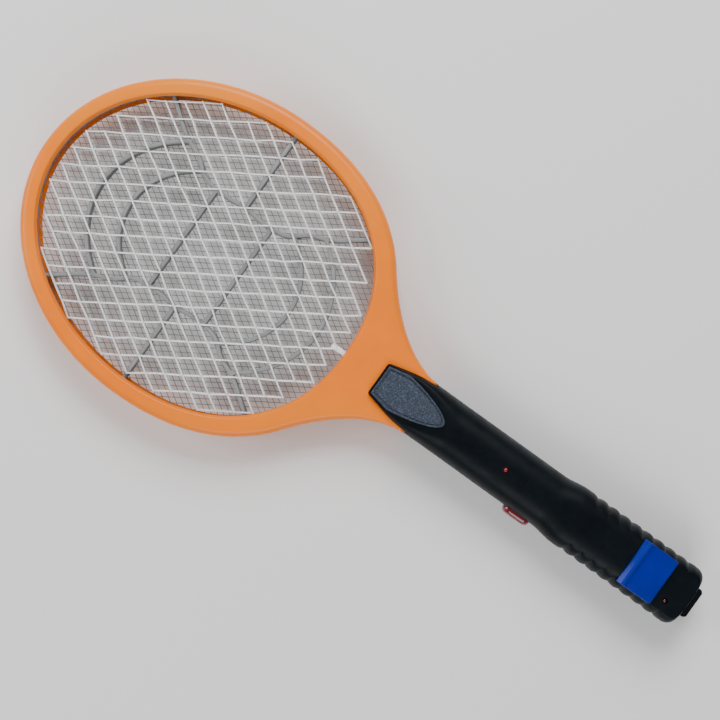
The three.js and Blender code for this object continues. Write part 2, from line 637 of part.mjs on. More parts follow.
// What both shells have in common: the outer form, hollowed, open for the neck, tang and tail cap.
function handleBody() {
  const outer = handleForm(outerStations(), 0, true).subtract(aboveNose(0)).subtract(mirroredZ(aboveNose(0)));
  const inside = [CAVITY_START, NOSE_START + NOSE_SLOPE_LENGTH, FLARE_START, GRIP_START];
  inside.push(SHOULDER_START, CAVITY_END);
  const under = SHELL_WALL + INLAY_SUNK;
  let cavity = handleForm(inside, INNER_INSET, false);
  cavity = cavity.subtract(aboveNose(under)).subtract(mirroredZ(aboveNose(under)));
  const beforeTrack = TRACK_START - SHELL_WALL;
  cavity = cavity.subtract(block(beforeTrack, HANDLE_END, -FAR, FAR, TRACK_CEILING, HANDLE_DEPTH));
  const neckHeight = HEAD_HALF_DEPTH + FIT;
  const neckRoom = block(NOSE_START - 20, NECK_END + FIT, -FAR, FAR, -neckHeight, neckHeight);
  const tangWide = TANG_HALF_WIDTH + FIT;
  const tangHigh = TANG_DEPTH / 2 + FIT;
  const tangRoom = block(NECK_END - 5, TANG_END + FIT, -tangWide, tangWide, -tangHigh, tangHigh);
  const capWide = CAP_HALF_WIDTH + FIT;
  const capHigh = CAP_HALF_HEIGHT + FIT;
  const capRoom = block(CAVITY_END - 1, CAP_END, -capWide, capWide, -capHigh, capHigh);
  return outer.subtract(joined([cavity, neckRoom, tangRoom, capRoom]));
}

// The hole through the shells' side for the button, with a flat pocket behind it for the flange.
function buttonRoom() {
  const hole = sidePlate(capsuleShape(FIT + 0.1), -HANDLE_DEPTH, FLANGE_OUT);
  return hole.add(sidePlate(capsuleShape(BUTTON_FLANGE + FIT), FLANGE_OUT - FIT, SWITCH_FACE));
}

const insideHandle = () => handleForm([CAVITY_START, FLARE_START, GRIP_START, CAVITY_END], SHELL_WALL / 2, false);

function handleFrontShell(body) {
  let shell = body;
  const posts = [];
  for (const [x, y] of handleScrewAt.slice(2)) {
    posts.push(rod([x, y, SEAM], [x, y, HALF_DEPTH], BOSS_RADIUS));
  }
  const above = block(0, FAR, -FAR, FAR, SEAM, HANDLE_DEPTH);
  shell = shell.add(joined(posts).intersect(insideHandle())).intersect(above);
  const track = block(TRACK_START, CAP_END, -FAR, FAR, TRACK_HEIGHT, HANDLE_DEPTH);
  const slotStart = STEM_START - FIT;
  const slotEnd = STEM_START + STEM_LENGTH + SLIDER_TRAVEL + FIT;
  const slotWide = STEM_HALF_WIDTH + FIT;
  const slot = block(slotStart, slotEnd, -slotWide, slotWide, 0, HANDLE_DEPTH);
  const led = rod([LED_X, 0, 1], [LED_X, 0, HANDLE_DEPTH], LED_RADIUS + FIT);
  const chargeLedAt = [CHARGE_LED_X, CHARGE_LED_Y];
  const chargeLed = rod([...chargeLedAt, 1], [...chargeLedAt, HANDLE_DEPTH], LED_RADIUS + FIT);
  const pilotTop = TRACK_CEILING - 1;
  const pilots = handleScrewAt.slice(2).map(([x, y]) => rod([x, y, -1], [x, y, pilotTop], SCREW_RADIUS + FIT));
  const recess = inlaySolid(FIT, 5 * INLAY_THICKNESS);
  return shell.subtract(joined([track, slot, led, chargeLed, recess, buttonRoom(), ...pilots]));
}

function handleRearShell(body) {
  const posts = [];
  for (const [x, y] of handleScrewAt.slice(2)) {
    posts.push(rod([x, y, -HALF_DEPTH], [x, y, -SEAM], BOSS_RADIUS));
  }
  for (const [x, y] of handleScrewAt.slice(0, 2)) {
    posts.push(rod([x, y, -HALF_DEPTH], [x, y, -TANG_DEPTH / 2 - FIT], BOSS_RADIUS));
  }
  for (const x of [BOARD_START + 4, BOARD_START + BOARD_LENGTH - 4]) {
    for (const y of [-9, 9]) {
      posts.push(rod([x, y, -HALF_DEPTH], [x, y, BOARD_UNDER - REST], BOARD_POST_RADIUS, 8));
    }
  }
  for (const x of [CHARGER_START + 3, CHARGER_START + CHARGER_LENGTH - 3]) {
    for (const y of [-6, 6]) {
      posts.push(rod([x, y, -HALF_DEPTH], [x, y, CHARGER_TOP - BOARD_THICKNESS - REST], BOARD_POST_RADIUS, 8));
    }
  }
  const cells = cellSolid(-1, FIT).add(cellSolid(1, FIT));
  for (const t of [0.25, 0.75]) {
    const x = CELL_START + t * CELL_LENGTH;
    posts.push(block(x - 1, x + 1, -12, 12, -HALF_DEPTH, -2).subtract(cells));
  }
  const below = block(0, FAR, -FAR, FAR, -HANDLE_DEPTH, -SEAM);
  const shell = body.add(joined(posts).intersect(insideHandle())).intersect(below);
  const holes = handleScrewAt.map(([x, y]) => {
    const shank = rod([x, y, -HANDLE_DEPTH], [x, y, 1], SCREW_RADIUS + FIT);
    return shank.add(rod([x, y, -HANDLE_DEPTH], [x, y, -HALF_DEPTH + counterbore(x)], COUNTERBORE_RADIUS));
  });
  return shell.subtract(joined([buttonRoom(), ...holes]));
}

// Depth of the screw's counterbore: the tang's screws have less room above them.
const counterbore = (x) => (x < TANG_END ? HALF_DEPTH - TANG_DEPTH / 2 - FIT - SHELL_WALL : HANDLE_COUNTERBORE);

function screw(x, y, seat, tip) {
  const shank = SCREW_RADIUS;
  const head = SCREW_HEAD_RADIUS;
  const profile = [
    [0, seat - SCREW_HEAD_HEIGHT],
    [head * 0.75, seat - SCREW_HEAD_HEIGHT],
    [head, seat - SCREW_HEAD_HEIGHT / 2],
    [head, seat],
    [shank, seat],
    [shank, tip - 1.5],
    [0, tip],
  ];
  return turned(profile, x, y, 0);
}

// ---------------------------------------------------------------- button and switch

function powerButton() {
  const out = -TUBE_HALF_WIDTH - BUTTON_PROUD;
  const round = BUTTON_ROUNDING;
  const options = { depth: FLANGE_OUT - out - round, curveSegments: 6, bevelSegments: 2 };
  Object.assign(options, { bevelEnabled: true, bevelThickness: round, bevelSize: round, bevelOffset: -round });
  const capsule = new THREE.ExtrudeGeometry(capsuleShape(0), options);
  const cap = solid(capsule.rotateX(Math.PI / 2).translate(0, FLANGE_OUT, 0));
  const beyond = block(0, FAR, FLANGE_OUT + 0.01, FAR, -FAR, FAR);
  const flange = sidePlate(capsuleShape(BUTTON_FLANGE), FLANGE_OUT, FLANGE_OUT + BUTTON_FLANGE_THICKNESS);
  return cap.subtract(beyond).add(flange);
}

function tactSwitch() {
  const half = SWITCH_SIZE / 2;
  const back = SWITCH_FACE + SWITCH_DEPTH;
  const body = block(BUTTON_X - half, BUTTON_X + half, SWITCH_FACE, back, BOARD_TOP + REST, half);
  return body.subtract(rod([BUTTON_X, SWITCH_FACE - 1, 0], [BUTTON_X, back - 0.6, 0], PLUNGER_RADIUS + FIT));
}

function switchPlunger() {
  const outer = FLANGE_OUT + BUTTON_FLANGE_THICKNESS + REST;
  return rod([BUTTON_X, outer, 0], [BUTTON_X, outer + PLUNGER_LENGTH, 0], PLUNGER_RADIUS);
}

// ---------------------------------------------------------------- charging plug

const bladeY = BLADE_SPACING / 2;

function chargingSlider() {
  const x = SLIDER_START;
  const z = SLIDER_BASE;
  const end = x + SLIDER_LENGTH;
  const side = polygon([
    [x, z],
    [end, z],
    [end, z + SLIDER_REAR_HEIGHT - 0.8],
    [end - 0.8, z + SLIDER_REAR_HEIGHT],
    [x + 6.5, z + SLIDER_HEIGHT],
    [x + 5, z + SLIDER_RIDGE_HEIGHT - 0.3],
    [x + 4.2, z + SLIDER_RIDGE_HEIGHT],
    [x + 3.2, z + SLIDER_RIDGE_HEIGHT],
    [x, z + SLIDER_HEIGHT - 0.6],
  ]);
  const plan = new THREE.Shape();
  const half = SLIDER_HALF_WIDTH;
  const corner = SLIDER_CORNER;
  plan.moveTo(x, -half);
  plan.lineTo(end - corner, -half);
  plan.quadraticCurveTo(end, -half, end, -half + corner);
  plan.lineTo(end, half - corner);
  plan.quadraticCurveTo(end, half, end - corner, half);
  plan.lineTo(x, half);
  plan.closePath();
  const tab = sidePlate(side, -half, half).intersect(plate(plan, z - 1, z + 10, 0, 4));
  const stemFoot = CARRIAGE_HALF_HEIGHT - CARRIAGE_SOCKET + REST;
  const stem = block(STEM_START, STEM_START + STEM_LENGTH, -STEM_HALF_WIDTH, STEM_HALF_WIDTH, stemFoot, z + 1);
  return tab.add(stem);
}

// A flat blade, or the slot for it, grown by a distance.
function blade(side, grow) {
  const y = side * bladeY;
  const half = BLADE_THICKNESS / 2 + grow;
  const high = BLADE_WIDTH / 2 + grow;
  return block(BLADE_ROOT - grow, CAP_END - BLADE_SUNK, y - half, y + half, -high, high);
}

function plugCarriage() {
  const wide = CARRIAGE_HALF_WIDTH;
  const high = CARRIAGE_HALF_HEIGHT;
  const body = block(CARRIAGE_START, CARRIAGE_END, -wide, wide, -high, high);
  const grow = REST;
  const half = STEM_HALF_WIDTH + grow;
  const stemEnd = STEM_START + STEM_LENGTH + grow;
  const socket = block(STEM_START - grow, stemEnd, -half, half, high - CARRIAGE_SOCKET, high + 1);
  return body.subtract(joined([socket, blade(-1, REST), blade(1, REST)]));
}

function tailCap() {
  const wide = CAP_HALF_WIDTH;
  const high = CAP_HALF_HEIGHT;
  const flangeEnd = CAVITY_END - FIT;
  const plan = polygon([
    [flangeEnd - 1, -wide],
    [CAP_END - CAP_CHAMFER, -wide],
    [CAP_END, -wide + CAP_CHAMFER],
    [CAP_END, wide - CAP_CHAMFER],
    [CAP_END - CAP_CHAMFER, wide],
    [flangeEnd - 1, wide],
  ]);
  const flange = block(flangeEnd - CAP_FLANGE, flangeEnd, -wide - 2, wide + 2, -high - 2, high + 2);
  const slots = [-1, 1].map((side) => {
    const y = side * bladeY;
    const half = BLADE_THICKNESS / 2 + FIT;
    const tall = BLADE_WIDTH / 2 + FIT;
    return block(flangeEnd - 10, CAP_END + 1, y - half, y + half, -tall, tall);
  });
  return plate(plan, -high, high).add(flange).subtract(joined(slots));
}

// ---------------------------------------------------------------- electronics

function circuitBoard() {
  const end = BOARD_START + BOARD_LENGTH;
  return block(BOARD_START, end, -BOARD_HALF_WIDTH, BOARD_HALF_WIDTH, BOARD_UNDER, BOARD_TOP);
}

const ON_BOARD = BOARD_TOP + REST;

// Transformer: a core with two windows, and the coil that fills them round the middle leg.
const CORE = { x: 339.5, length: 13, y0: -5, width: 15.5, height: 11, leg: 3.2, middle: 4.5, depth: 4.5 };

function transformerCore() {
  const { x, length, y0, width, height, leg, middle, depth } = CORE;
  const y1 = y0 + width;
  const centre = (y0 + y1) / 2;
  const low = ON_BOARD;
  const high = low + height;
  const mid = x + length / 2;
  const body = block(mid - depth / 2, mid + depth / 2, y0, y1, low, high);
  const windows = [
    block(x, x + length, y0 + leg, centre - middle / 2, low + leg, high - leg),
    block(x, x + length, centre + middle / 2, y1 - leg, low + leg, high - leg),
  ];
  return body.subtract(joined(windows));
}

function transformerCoil() {
  const { x, length, y0, width, height, leg, middle, depth } = CORE;
  const centre = y0 + width / 2;
  const low = ON_BOARD + leg + REST;
  const high = ON_BOARD + height - leg - REST;
  const reach = width / 2 - leg - REST;
  const around = depth / 2 + REST;
  const coil = block(x + 1.5, x + length - 1.5, centre - reach, centre + reach, low, high);
  const mid = x + length / 2;
  const inner = middle / 2 + REST;
  return coil.subtract(block(mid - around, mid + around, centre - inner, centre + inner, low - 1, high + 1));
}

// An axial component lying along x on the board: a body between two wire ends.
function axialPart(x, y, length, radius) {
  const z = ON_BOARD + radius;
  const body = rod([x - length / 2, y, z], [x + length / 2, y, z], radius);
  return body.add(rod([x - length / 2 - 3, y, z], [x + length / 2 + 3, y, z], 0.4, 6));
}

function transistor() {
  const x = CORE.x + CORE.length + 3.5;
  const package_ = block(x, x + 2.8, 0, 7.8, ON_BOARD + 3, ON_BOARD + 14);
  const legs = [1.6, 3.9, 6.2].map((y) => block(x + 1, x + 1.7, y - 0.4, y + 0.4, ON_BOARD, ON_BOARD + 4));
  return joined([package_, ...legs]).subtract(rod([x - 1, 3.9, 9.5], [x + 4, 3.9, 9.5], 1.5));
}

// A round LED with its flange and two legs; the top of its dome is at z = top.
function ledSolid(x, y, top, flangeTop, foot) {
  const r = LED_RADIUS;
  const rim = r + 0.4;
  const dome = [
    [0, flangeTop - 1],
    [rim, flangeTop - 1],
    [rim, flangeTop],
    [r, flangeTop],
    [r, top - r],
    [r * 0.87, top - r * 0.5],
    [r * 0.5, top - r * 0.13],
    [0, top],
  ];
  const legs = [-0.65, 0.65].map((side) => rod([x, y + side, foot], [x, y + side, flangeTop - 0.5], 0.25, 6));
  return joined([turned(dome, x, y, 0, 9), ...legs]);
}

function cellSolid(side, grow) {
  const y = side * (CELL_RADIUS + FIT);
  return rod([CELL_START - grow, y, 0], [CELL_START + CELL_LENGTH + grow, y, 0], CELL_RADIUS + grow, 20);
}

function batteryLink() {
  const x = CELL_START + CELL_LENGTH + REST;
  return block(x, x + 0.5, -CELL_RADIUS - 2, CELL_RADIUS + 2, -2.5, 2.5);
}

function chargerBoard() {
  const end = CHARGER_START + CHARGER_LENGTH;
  const wide = CHARGER_HALF_WIDTH;
  return block(CHARGER_START, end, -wide, wide, CHARGER_TOP - BOARD_THICKNESS, CHARGER_TOP);
}

// A folded contact strip that the blade's heel meets when the plug is out.
function chargeContact(side) {
  const x = CARRIAGE_END + SLIDER_TRAVEL - 11;
  const low = CHARGER_TOP + REST;
  const high = -CARRIAGE_HALF_HEIGHT - FIT;
  const y = side * bladeY;
  const shape = polygon([
    [x, low],
    [x + 8, low],
    [x + 8, low + 0.5],
    [x + 1.6, low + 0.5],
    [x + 6, high - 0.4],
    [x + 7.5, high - 0.4],
    [x + 7.5, high],
    [x + 5.6, high],
    [x, low + 0.9],
  ]);
  return sidePlate(shape, y - 1.2, y + 1.2);
}

// High-voltage leads run from the board, through the tang's channel, to each grid's contact tab.
function gridLead(y, z) {
  const boardZ = ON_BOARD + LEAD_RADIUS;
  const tab = TAB_END + FIT;
  const points = [
    [tab, y * 0.5, z],
    [tab + 6, y * 0.8, z * 0.8],
    [tab + 16, y, 0],
    [TANG_END - 10, y, 0],
    [TANG_END + 1, y, 0],
    [BOARD_START + 3, y, boardZ + 0.3],
    [BOARD_START + 6, y, boardZ],
  ];
  return lead(points, LEAD_RADIUS, 12);
}

// ---------------------------------------------------------------- assembly

const assembly = new THREE.Group();
assembly.position.set(-CAP_END / 2, 0, HALF_DEPTH);
const add = (name, material, made) => assembly.add(piece(name, material, made));

add("head_front_frame", ORANGE, headFrontFrame());
add("head_rear_frame", ORANGE, headRearFrame());
add("front_grid", WIRE, grid(OUTER_GRID_STEP, GRID_LEVEL));
add("middle_grid", WIRE, grid(MIDDLE_GRID_STEP, -WIRE_THICKNESS / 2));
add("rear_grid", WIRE, grid(OUTER_GRID_STEP, -GRID_LEVEL - WIRE_THICKNESS));
add("front_spacer", SPACER_GREY, spacer());
add("rear_spacer", SPACER_GREY, mirroredZ(spacer()));
headScrewAt.forEach(([x, y], i) => {
  const seat = -HEAD_HALF_DEPTH + HEAD_COUNTERBORE - REST;
  add(`head_screw_${i + 1}`, STEEL, screw(x, y, seat, LIP_UNDER - 3));
});

const body = handleBody();
add("handle_front_shell", BLACK, handleFrontShell(body));
add("handle_rear_shell", BLACK, handleRearShell(body));
add("throat_inlay", INLAY_GREY, inlaySolid(0, INLAY_THICKNESS));
handleScrewAt.forEach(([x, y], i) => {
  const seat = -HALF_DEPTH + counterbore(x) - REST;
  add(`handle_screw_${i + 1}`, STEEL, screw(x, y, seat, x < TANG_END ? TANG_DEPTH / 2 - 1 : TRACK_CEILING - 4));
});

add("power_button", RED, powerButton());
add("switch_plunger", NYLON, switchPlunger());
add("tact_switch", EPOXY, tactSwitch());

add("charging_slider", BLUE, chargingSlider());
add("plug_carriage", NYLON, plugCarriage());
add("plug_blade_left", BRASS, blade(1, 0));
add("plug_blade_right", BRASS, blade(-1, 0));
add("tail_cap", BLACK, tailCap());

add("circuit_board", BOARD_GREEN, circuitBoard());
add("transformer_core", FERRITE, transformerCore());
add("transformer_coil", TAPE, transformerCoil());
[-1, 1].forEach((side, i) => {
  const y = side * 7.5;
  const capacitor = block(BOARD_START + 9.5, BOARD_START + 23.5, y - 3.5, y + 3.5, ON_BOARD, ON_BOARD + 11);
  add(`hv_capacitor_${i + 1}`, FILM, capacitor);
});
[
  [BOARD_START + 16, -1.7],
  [BOARD_START + 16, 1.7],
  [BOARD_START + 32, 6.2],
  [BOARD_START + 32, 9.6],
].forEach(([x, y], i) => add(`hv_diode_${i + 1}`, EPOXY, axialPart(x, y, 5, 1.35)));
add("bleed_resistor", CERAMIC, axialPart(BOARD_START + 32, -8, 6.3, 1.2));
add("transistor", EPOXY, transistor());
add("indicator_led", RED, ledSolid(LED_X, 0, HALF_DEPTH + 0.6, HALF_DEPTH - SHELL_WALL - 1.5, ON_BOARD));
const chargeLedFlange = TRACK_CEILING - FIT;
const chargeLedTop = TRACK_HEIGHT - REST;
add("charge_led", RED, ledSolid(CHARGE_LED_X, CHARGE_LED_Y, chargeLedTop, chargeLedFlange, chargeLedFlange - 3));

add("battery_cell_1", CELL_SLEEVE, cellSolid(-1, 0));
add("battery_cell_2", CELL_SLEEVE, cellSolid(1, 0));
add("battery_link", STEEL, batteryLink());
add("charger_board", BOARD_GREEN, chargerBoard());
const dropperX = CHARGER_START + 1.5;
const dropperTop = -CARRIAGE_HALF_HEIGHT - 0.7;
add("dropper_capacitor", FILM, block(dropperX, dropperX + 12, -6, 6, CHARGER_TOP + REST, dropperTop));
add("charge_contact_1", BRASS, chargeContact(-1));
add("charge_contact_2", BRASS, chargeContact(1));

add("hv_lead_front", INSULATION_RED, gridLead(2.2, GRID_LEVEL + WIRE_THICKNESS / 2));
add("hv_lead_middle", INSULATION_WHITE, gridLead(0, 0));
add("hv_lead_rear", INSULATION_RED, gridLead(-2.2, -GRID_LEVEL - WIRE_THICKNESS / 2));
const boardLeadZ = ON_BOARD + LEAD_RADIUS;
const boardEnd = BOARD_START + BOARD_LENGTH;
[
  ["battery_lead_red", 1, INSULATION_RED],
  ["battery_lead_black", -1, INSULATION_BLACK],
].forEach(([name, side, material]) => {
  const points = [
    [boardEnd - 3, side * 9.5, boardLeadZ],
    [boardEnd - 1, side * 9.5, boardLeadZ + 0.2],
    [boardEnd + 3, side * 9, 0],
    [CELL_START - 2, side * 8.2, 2],
    [CELL_START - 0.5, side * 8, 2],
  ];
  add(name, material, lead(points, LEAD_RADIUS, 10));
});
add(
  "charge_led_lead",
  INSULATION_BLACK,
  lead(
    [
      [CHARGE_LED_X, CHARGE_LED_Y - 2.2, chargeLedFlange - 2],
      [CHARGE_LED_X, CHARGE_LED_Y - 3.6, chargeLedFlange - 4],
      [CHARGE_LED_X, -12.6, 0],
      [CHARGE_LED_X, -12, -6],
      [CHARGE_LED_X, -8.6, CHARGER_TOP + REST + LEAD_RADIUS + 0.2],
    ],
    LEAD_RADIUS,
    13,
  ),
);

const swatter = new THREE.Group();
swatter.add(assembly);
export default swatter;
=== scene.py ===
"""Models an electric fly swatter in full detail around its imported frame.

The frame gives every position: the model stands on z = 0, its long axis is x with the wire head
at the low end, and the push button is on the -y side. All lengths are in metres.
"""

import math
import random

import bmesh
import bpy
from bpy.props import FloatProperty, FloatVectorProperty, IntProperty, PointerProperty
from mathutils import Matrix, Vector


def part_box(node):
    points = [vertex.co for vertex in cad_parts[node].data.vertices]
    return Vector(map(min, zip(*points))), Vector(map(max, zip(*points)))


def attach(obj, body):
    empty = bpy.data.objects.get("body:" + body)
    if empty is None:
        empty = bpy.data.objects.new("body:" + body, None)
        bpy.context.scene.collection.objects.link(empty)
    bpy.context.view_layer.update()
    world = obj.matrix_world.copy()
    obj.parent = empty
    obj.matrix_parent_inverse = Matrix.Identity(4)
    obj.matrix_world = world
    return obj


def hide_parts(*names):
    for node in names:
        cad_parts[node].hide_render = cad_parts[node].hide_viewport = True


bl_info = {
    "name": "Electric Fly Swatter",
    "version": (1, 0, 0),
    "blender": (4, 5, 0),
    "location": "3D View > Sidebar > Fly Swatter",
    "description": "Builds a wire-headed electric fly swatter with a sliding charging plug",
    "category": "Add Mesh",
}

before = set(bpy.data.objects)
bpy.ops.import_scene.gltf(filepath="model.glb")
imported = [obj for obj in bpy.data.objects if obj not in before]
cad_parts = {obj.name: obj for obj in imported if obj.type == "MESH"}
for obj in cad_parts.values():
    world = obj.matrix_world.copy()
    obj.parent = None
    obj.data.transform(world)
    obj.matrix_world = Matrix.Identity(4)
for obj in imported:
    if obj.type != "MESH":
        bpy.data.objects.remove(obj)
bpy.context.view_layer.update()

MM = 0.001

# ------------------------------------------------------------------ places read from the frame

FRONT_LOW, FRONT_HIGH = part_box("head_front_frame")
REAR_LOW, REAR_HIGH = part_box("head_rear_frame")
HANDLE_LOW, HANDLE_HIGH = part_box("handle_front_shell")
HANDLE_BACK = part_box("handle_rear_shell")[0].z
BUTTON_LOW, BUTTON_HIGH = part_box("power_button")
SLIDER_LOW, SLIDER_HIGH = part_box("charging_slider")
CAP_LOW, CAP_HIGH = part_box("tail_cap")
GRID_LOW, GRID_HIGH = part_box("front_grid")

HEAD_TIP_X = FRONT_LOW.x
MID_Z = (REAR_LOW.z + FRONT_HIGH.z) / 2
HALF_HEAD_WIDTH = FRONT_HIGH.y
NOSE_X = HANDLE_LOW.x
TAIL_X = HANDLE_HIGH.x
HALF_HANDLE_DEPTH = HANDLE_HIGH.z - MID_Z
SEAM = FRONT_LOW.z - MID_Z

# ------------------------------------------------------------------ fits between the pieces

FIT = 0.3 * MM
NOSE_OVERLAP = 31.6 * MM  # how far the handle's nose reaches over the neck
TANG_HALF_WIDTH = 11 * MM
TANG_HALF_DEPTH = 8 * MM
LEAD_CHANNEL = 4 * MM  # half the width of the channel for the leads
BUTTON_RADIUS = 4.8 * MM
BUTTON_STRAIGHT = 4.45 * MM  # half the straight part of the button's outline
CAP_HALF_WIDTH = 9.75 * MM
CAP_HALF_HEIGHT = 6.5 * MM
WELL_RADIUS = 2.5 * MM
CRESCENT_X = 101.8 * MM  # centre of the raised crescent behind the light, from the nose's front
GRIP_LINE_X = 133.6 * MM  # centre of the thin line's arc across the grip, from the nose's front
SLIDER_TRIM = 1.2 * MM  # how much shorter the slider's body is than its box
END_WALL = 3.5 * MM  # the shells' wall at the tail
NOSE_WALL = 3.4 * MM  # the shells' wall under the sloping nose
BEYOND = 0.05  # a length past any side of the handle, for cutting blocks
SHANK_HOLE = 1.45 * MM


# ------------------------------------------------------------------ sizes and colours


def length(name, text, value):
    return FloatProperty(
        name=name, description=text, default=value, unit="LENGTH", subtype="DISTANCE", precision=5
    )


def colour(name, text, value):
    return FloatVectorProperty(
        name=name, description=text, default=value, size=3, subtype="COLOR", min=0.0, max=1.0
    )


class HeadSizes(bpy.types.PropertyGroup):
    tip: length("Tip", "Head centre to the tip", 118 * MM)
    throat: length("Throat", "Head centre to where the squarer half would close", 112 * MM)
    squareness: FloatProperty(
        name="Squareness", description="Exponent of the throat half's outline; 2 is an ellipse", default=2.2
    )
    blend_start: length("Blend start", "Head centre to the end of the head's own curve", 94 * MM)
    neck_length: length("Neck", "From the blend's start to the neck's end", 60 * MM)
    neck_half: length("Neck half width", "Half the neck's width where it enters the handle", 17.6 * MM)
    opening_tip: length("Opening tip", "Head centre to the opening's far end", 108 * MM)
    opening_throat: length("Opening throat", "Head centre to the opening's near end", 98 * MM)
    opening_half: length("Opening half width", "Half the opening's width", 87 * MM)
    lip: length("Lip", "Thickness of the lip over the grids", 3 * MM)
    seat: length("Seat", "How far the seat for the grids reaches under the lip", 3.5 * MM)
    edge_width: length("Edge width", "Width of the rounding on the band's outer edge", 4.6 * MM)
    edge_height: length("Edge height", "Height of the rounding on the band's outer edge", 4.8 * MM)
    lip_round: length("Lip rounding", "Rounding on the lip's inner edge", 1.1 * MM)
    lip_slope: length("Lip slope", "How far the lip's inner wall leans back towards its top", 0.9 * MM)


class WireSizes(bpy.types.PropertyGroup):
    angle: FloatProperty(
        name="Angle",
        description="Each family of wires to the long axis",
        default=math.radians(32.7),
        subtype="ANGLE",
    )
    pitch: length("Pitch", "Between neighbouring coarse wires", 10.07 * MM)
    radius: length("Wire radius", "Radius of a coarse wire", 0.56 * MM)
    fine_radius: length("Fine wire radius", "Radius of a wire of the middle mesh", 0.26 * MM)
    fine_share: IntProperty(name="Fine wires", description="Fine wires to one coarse pitch", default=3, min=1)
    waver: length("Waver", "How far a crossing may lie from its true place", 0.42 * MM)
    bar: length("Spacer bar", "Width of a bar of the spacers", 2.5 * MM)
    seed: IntProperty(name="Seed", description="Seed of the crossings' waver", default=7)


class HandleSizes(bpy.types.PropertyGroup):
    nose_half: length("Nose half width", "Half the nose's width at its front edge", 11 * MM)
    nose_step: length("Nose height", "Nose's front edge above the mid-plane", 13 * MM)
    nose_slope: length("Nose slope", "Length over which the nose rises to the full depth", 52 * MM)
    tube_half: length("Tube half width", "Half the plain tube's width", 17.5 * MM)
    grip_half: length("Grip half width", "Half the grip's width over its ridges", 19.3 * MM)
    tube_length: length("Tube", "Nose's front edge to the flare", 124.6 * MM)
    flare: length("Flare", "Length over which the tube widens to the grip", 15 * MM)
    shoulder: length("Shoulder", "Length of the rounding at the tail", 6 * MM)
    shoulder_drop: length("Shoulder drop", "How far the shoulder falls", 4.9 * MM)
    ridge_pitch: length("Ridge pitch", "Between neighbouring finger ridges", 8.15 * MM)
    ridge_depth: length("Ridge depth", "Depth of the valleys between ridges", 1.7 * MM)
    wall: length("Wall", "Thickness of the shells", 2.2 * MM)
    track: length("Track", "Flat track for the slider above the mid-plane", 14.2 * MM)
    led_x: length("Light", "Nose's front edge to the indicator light", 91.6 * MM)


class PlugSizes(bpy.types.PropertyGroup):
    ridge: length("Ridge height", "Height of the slider's finger ridge over its base", 4.4 * MM)
    body: length("Slider height", "Height of the slider behind its ridge", 2.9 * MM)
    corner: length("Corner", "Radius of the slider's rear corners", 4 * MM)
    stem_setback: length("Stem setback", "Slider's front edge to its stem", 2.6 * MM)
    stem_length: length("Stem", "Length of the stem along the handle", 5.4 * MM)
    stem_half: length("Stem half width", "Half the stem's width", 2.7 * MM)
    travel: length("Travel", "How far the plug slides out", 16 * MM)
    chamfer: length("Collar chamfer", "Chamfer on the tail collar's corners", 1.5 * MM)
    charge_light_y: length("Charge light", "Charge light's place across the handle", -8 * MM)
    charge_light_gap: length("Charge light gap", "Slider's rear edge to the charge light", 5.2 * MM)


class SwatterColours(bpy.types.PropertyGroup):
    orange: colour("Frame", "Orange moulding of the head", (1.0, 0.215, 0.0))
    black: colour("Handle", "Black moulding of the handle", (0.0016, 0.0034, 0.0052))
    inlay: colour("Inlay", "Pebbled grey inlay on the nose", (0.046, 0.063, 0.096))
    wire: colour("Wire", "Plated wire of the grids", (1.0, 1.0, 1.0))
    spacer: colour("Spacer", "Grey moulding between the grids", (0.24, 0.245, 0.25))
    blue: colour("Slider", "Blue moulding of the charging slider", (0.001, 0.012, 0.27))
    red: colour("Button", "Dark red moulding of the push button", (0.20, 0.006, 0.018))
    brass: colour("Blades", "Plated brass of the plug", (0.72, 0.52, 0.22))
    steel: colour("Steel", "Screws and battery link", (0.62, 0.63, 0.65))
    floor: colour("Floor", "Plain floor", (0.88, 0.88, 0.88))


class StageSizes(bpy.types.PropertyGroup):
    roll: FloatProperty(
        name="Roll",
        description="Turn of the view about its own axis",
        default=math.radians(35.7),
        subtype="ANGLE",
    )
    centre_x: length("Centre x", "Middle of the view along the swatter", -9.4 * MM)
    centre_y: length("Centre y", "Middle of the view across the swatter", 2.4 * MM)
    width: length("View width", "Width of the view at the head's seam", 427.5 * MM)
    distance: length("Distance", "Camera above the head's seam", 0.9)


GROUPS = {
    "swatter_head": HeadSizes,
    "swatter_wires": WireSizes,
    "swatter_handle": HandleSizes,
    "swatter_plug": PlugSizes,
    "swatter_colours": SwatterColours,
    "swatter_stage": StageSizes,
}


# ------------------------------------------------------------------ materials


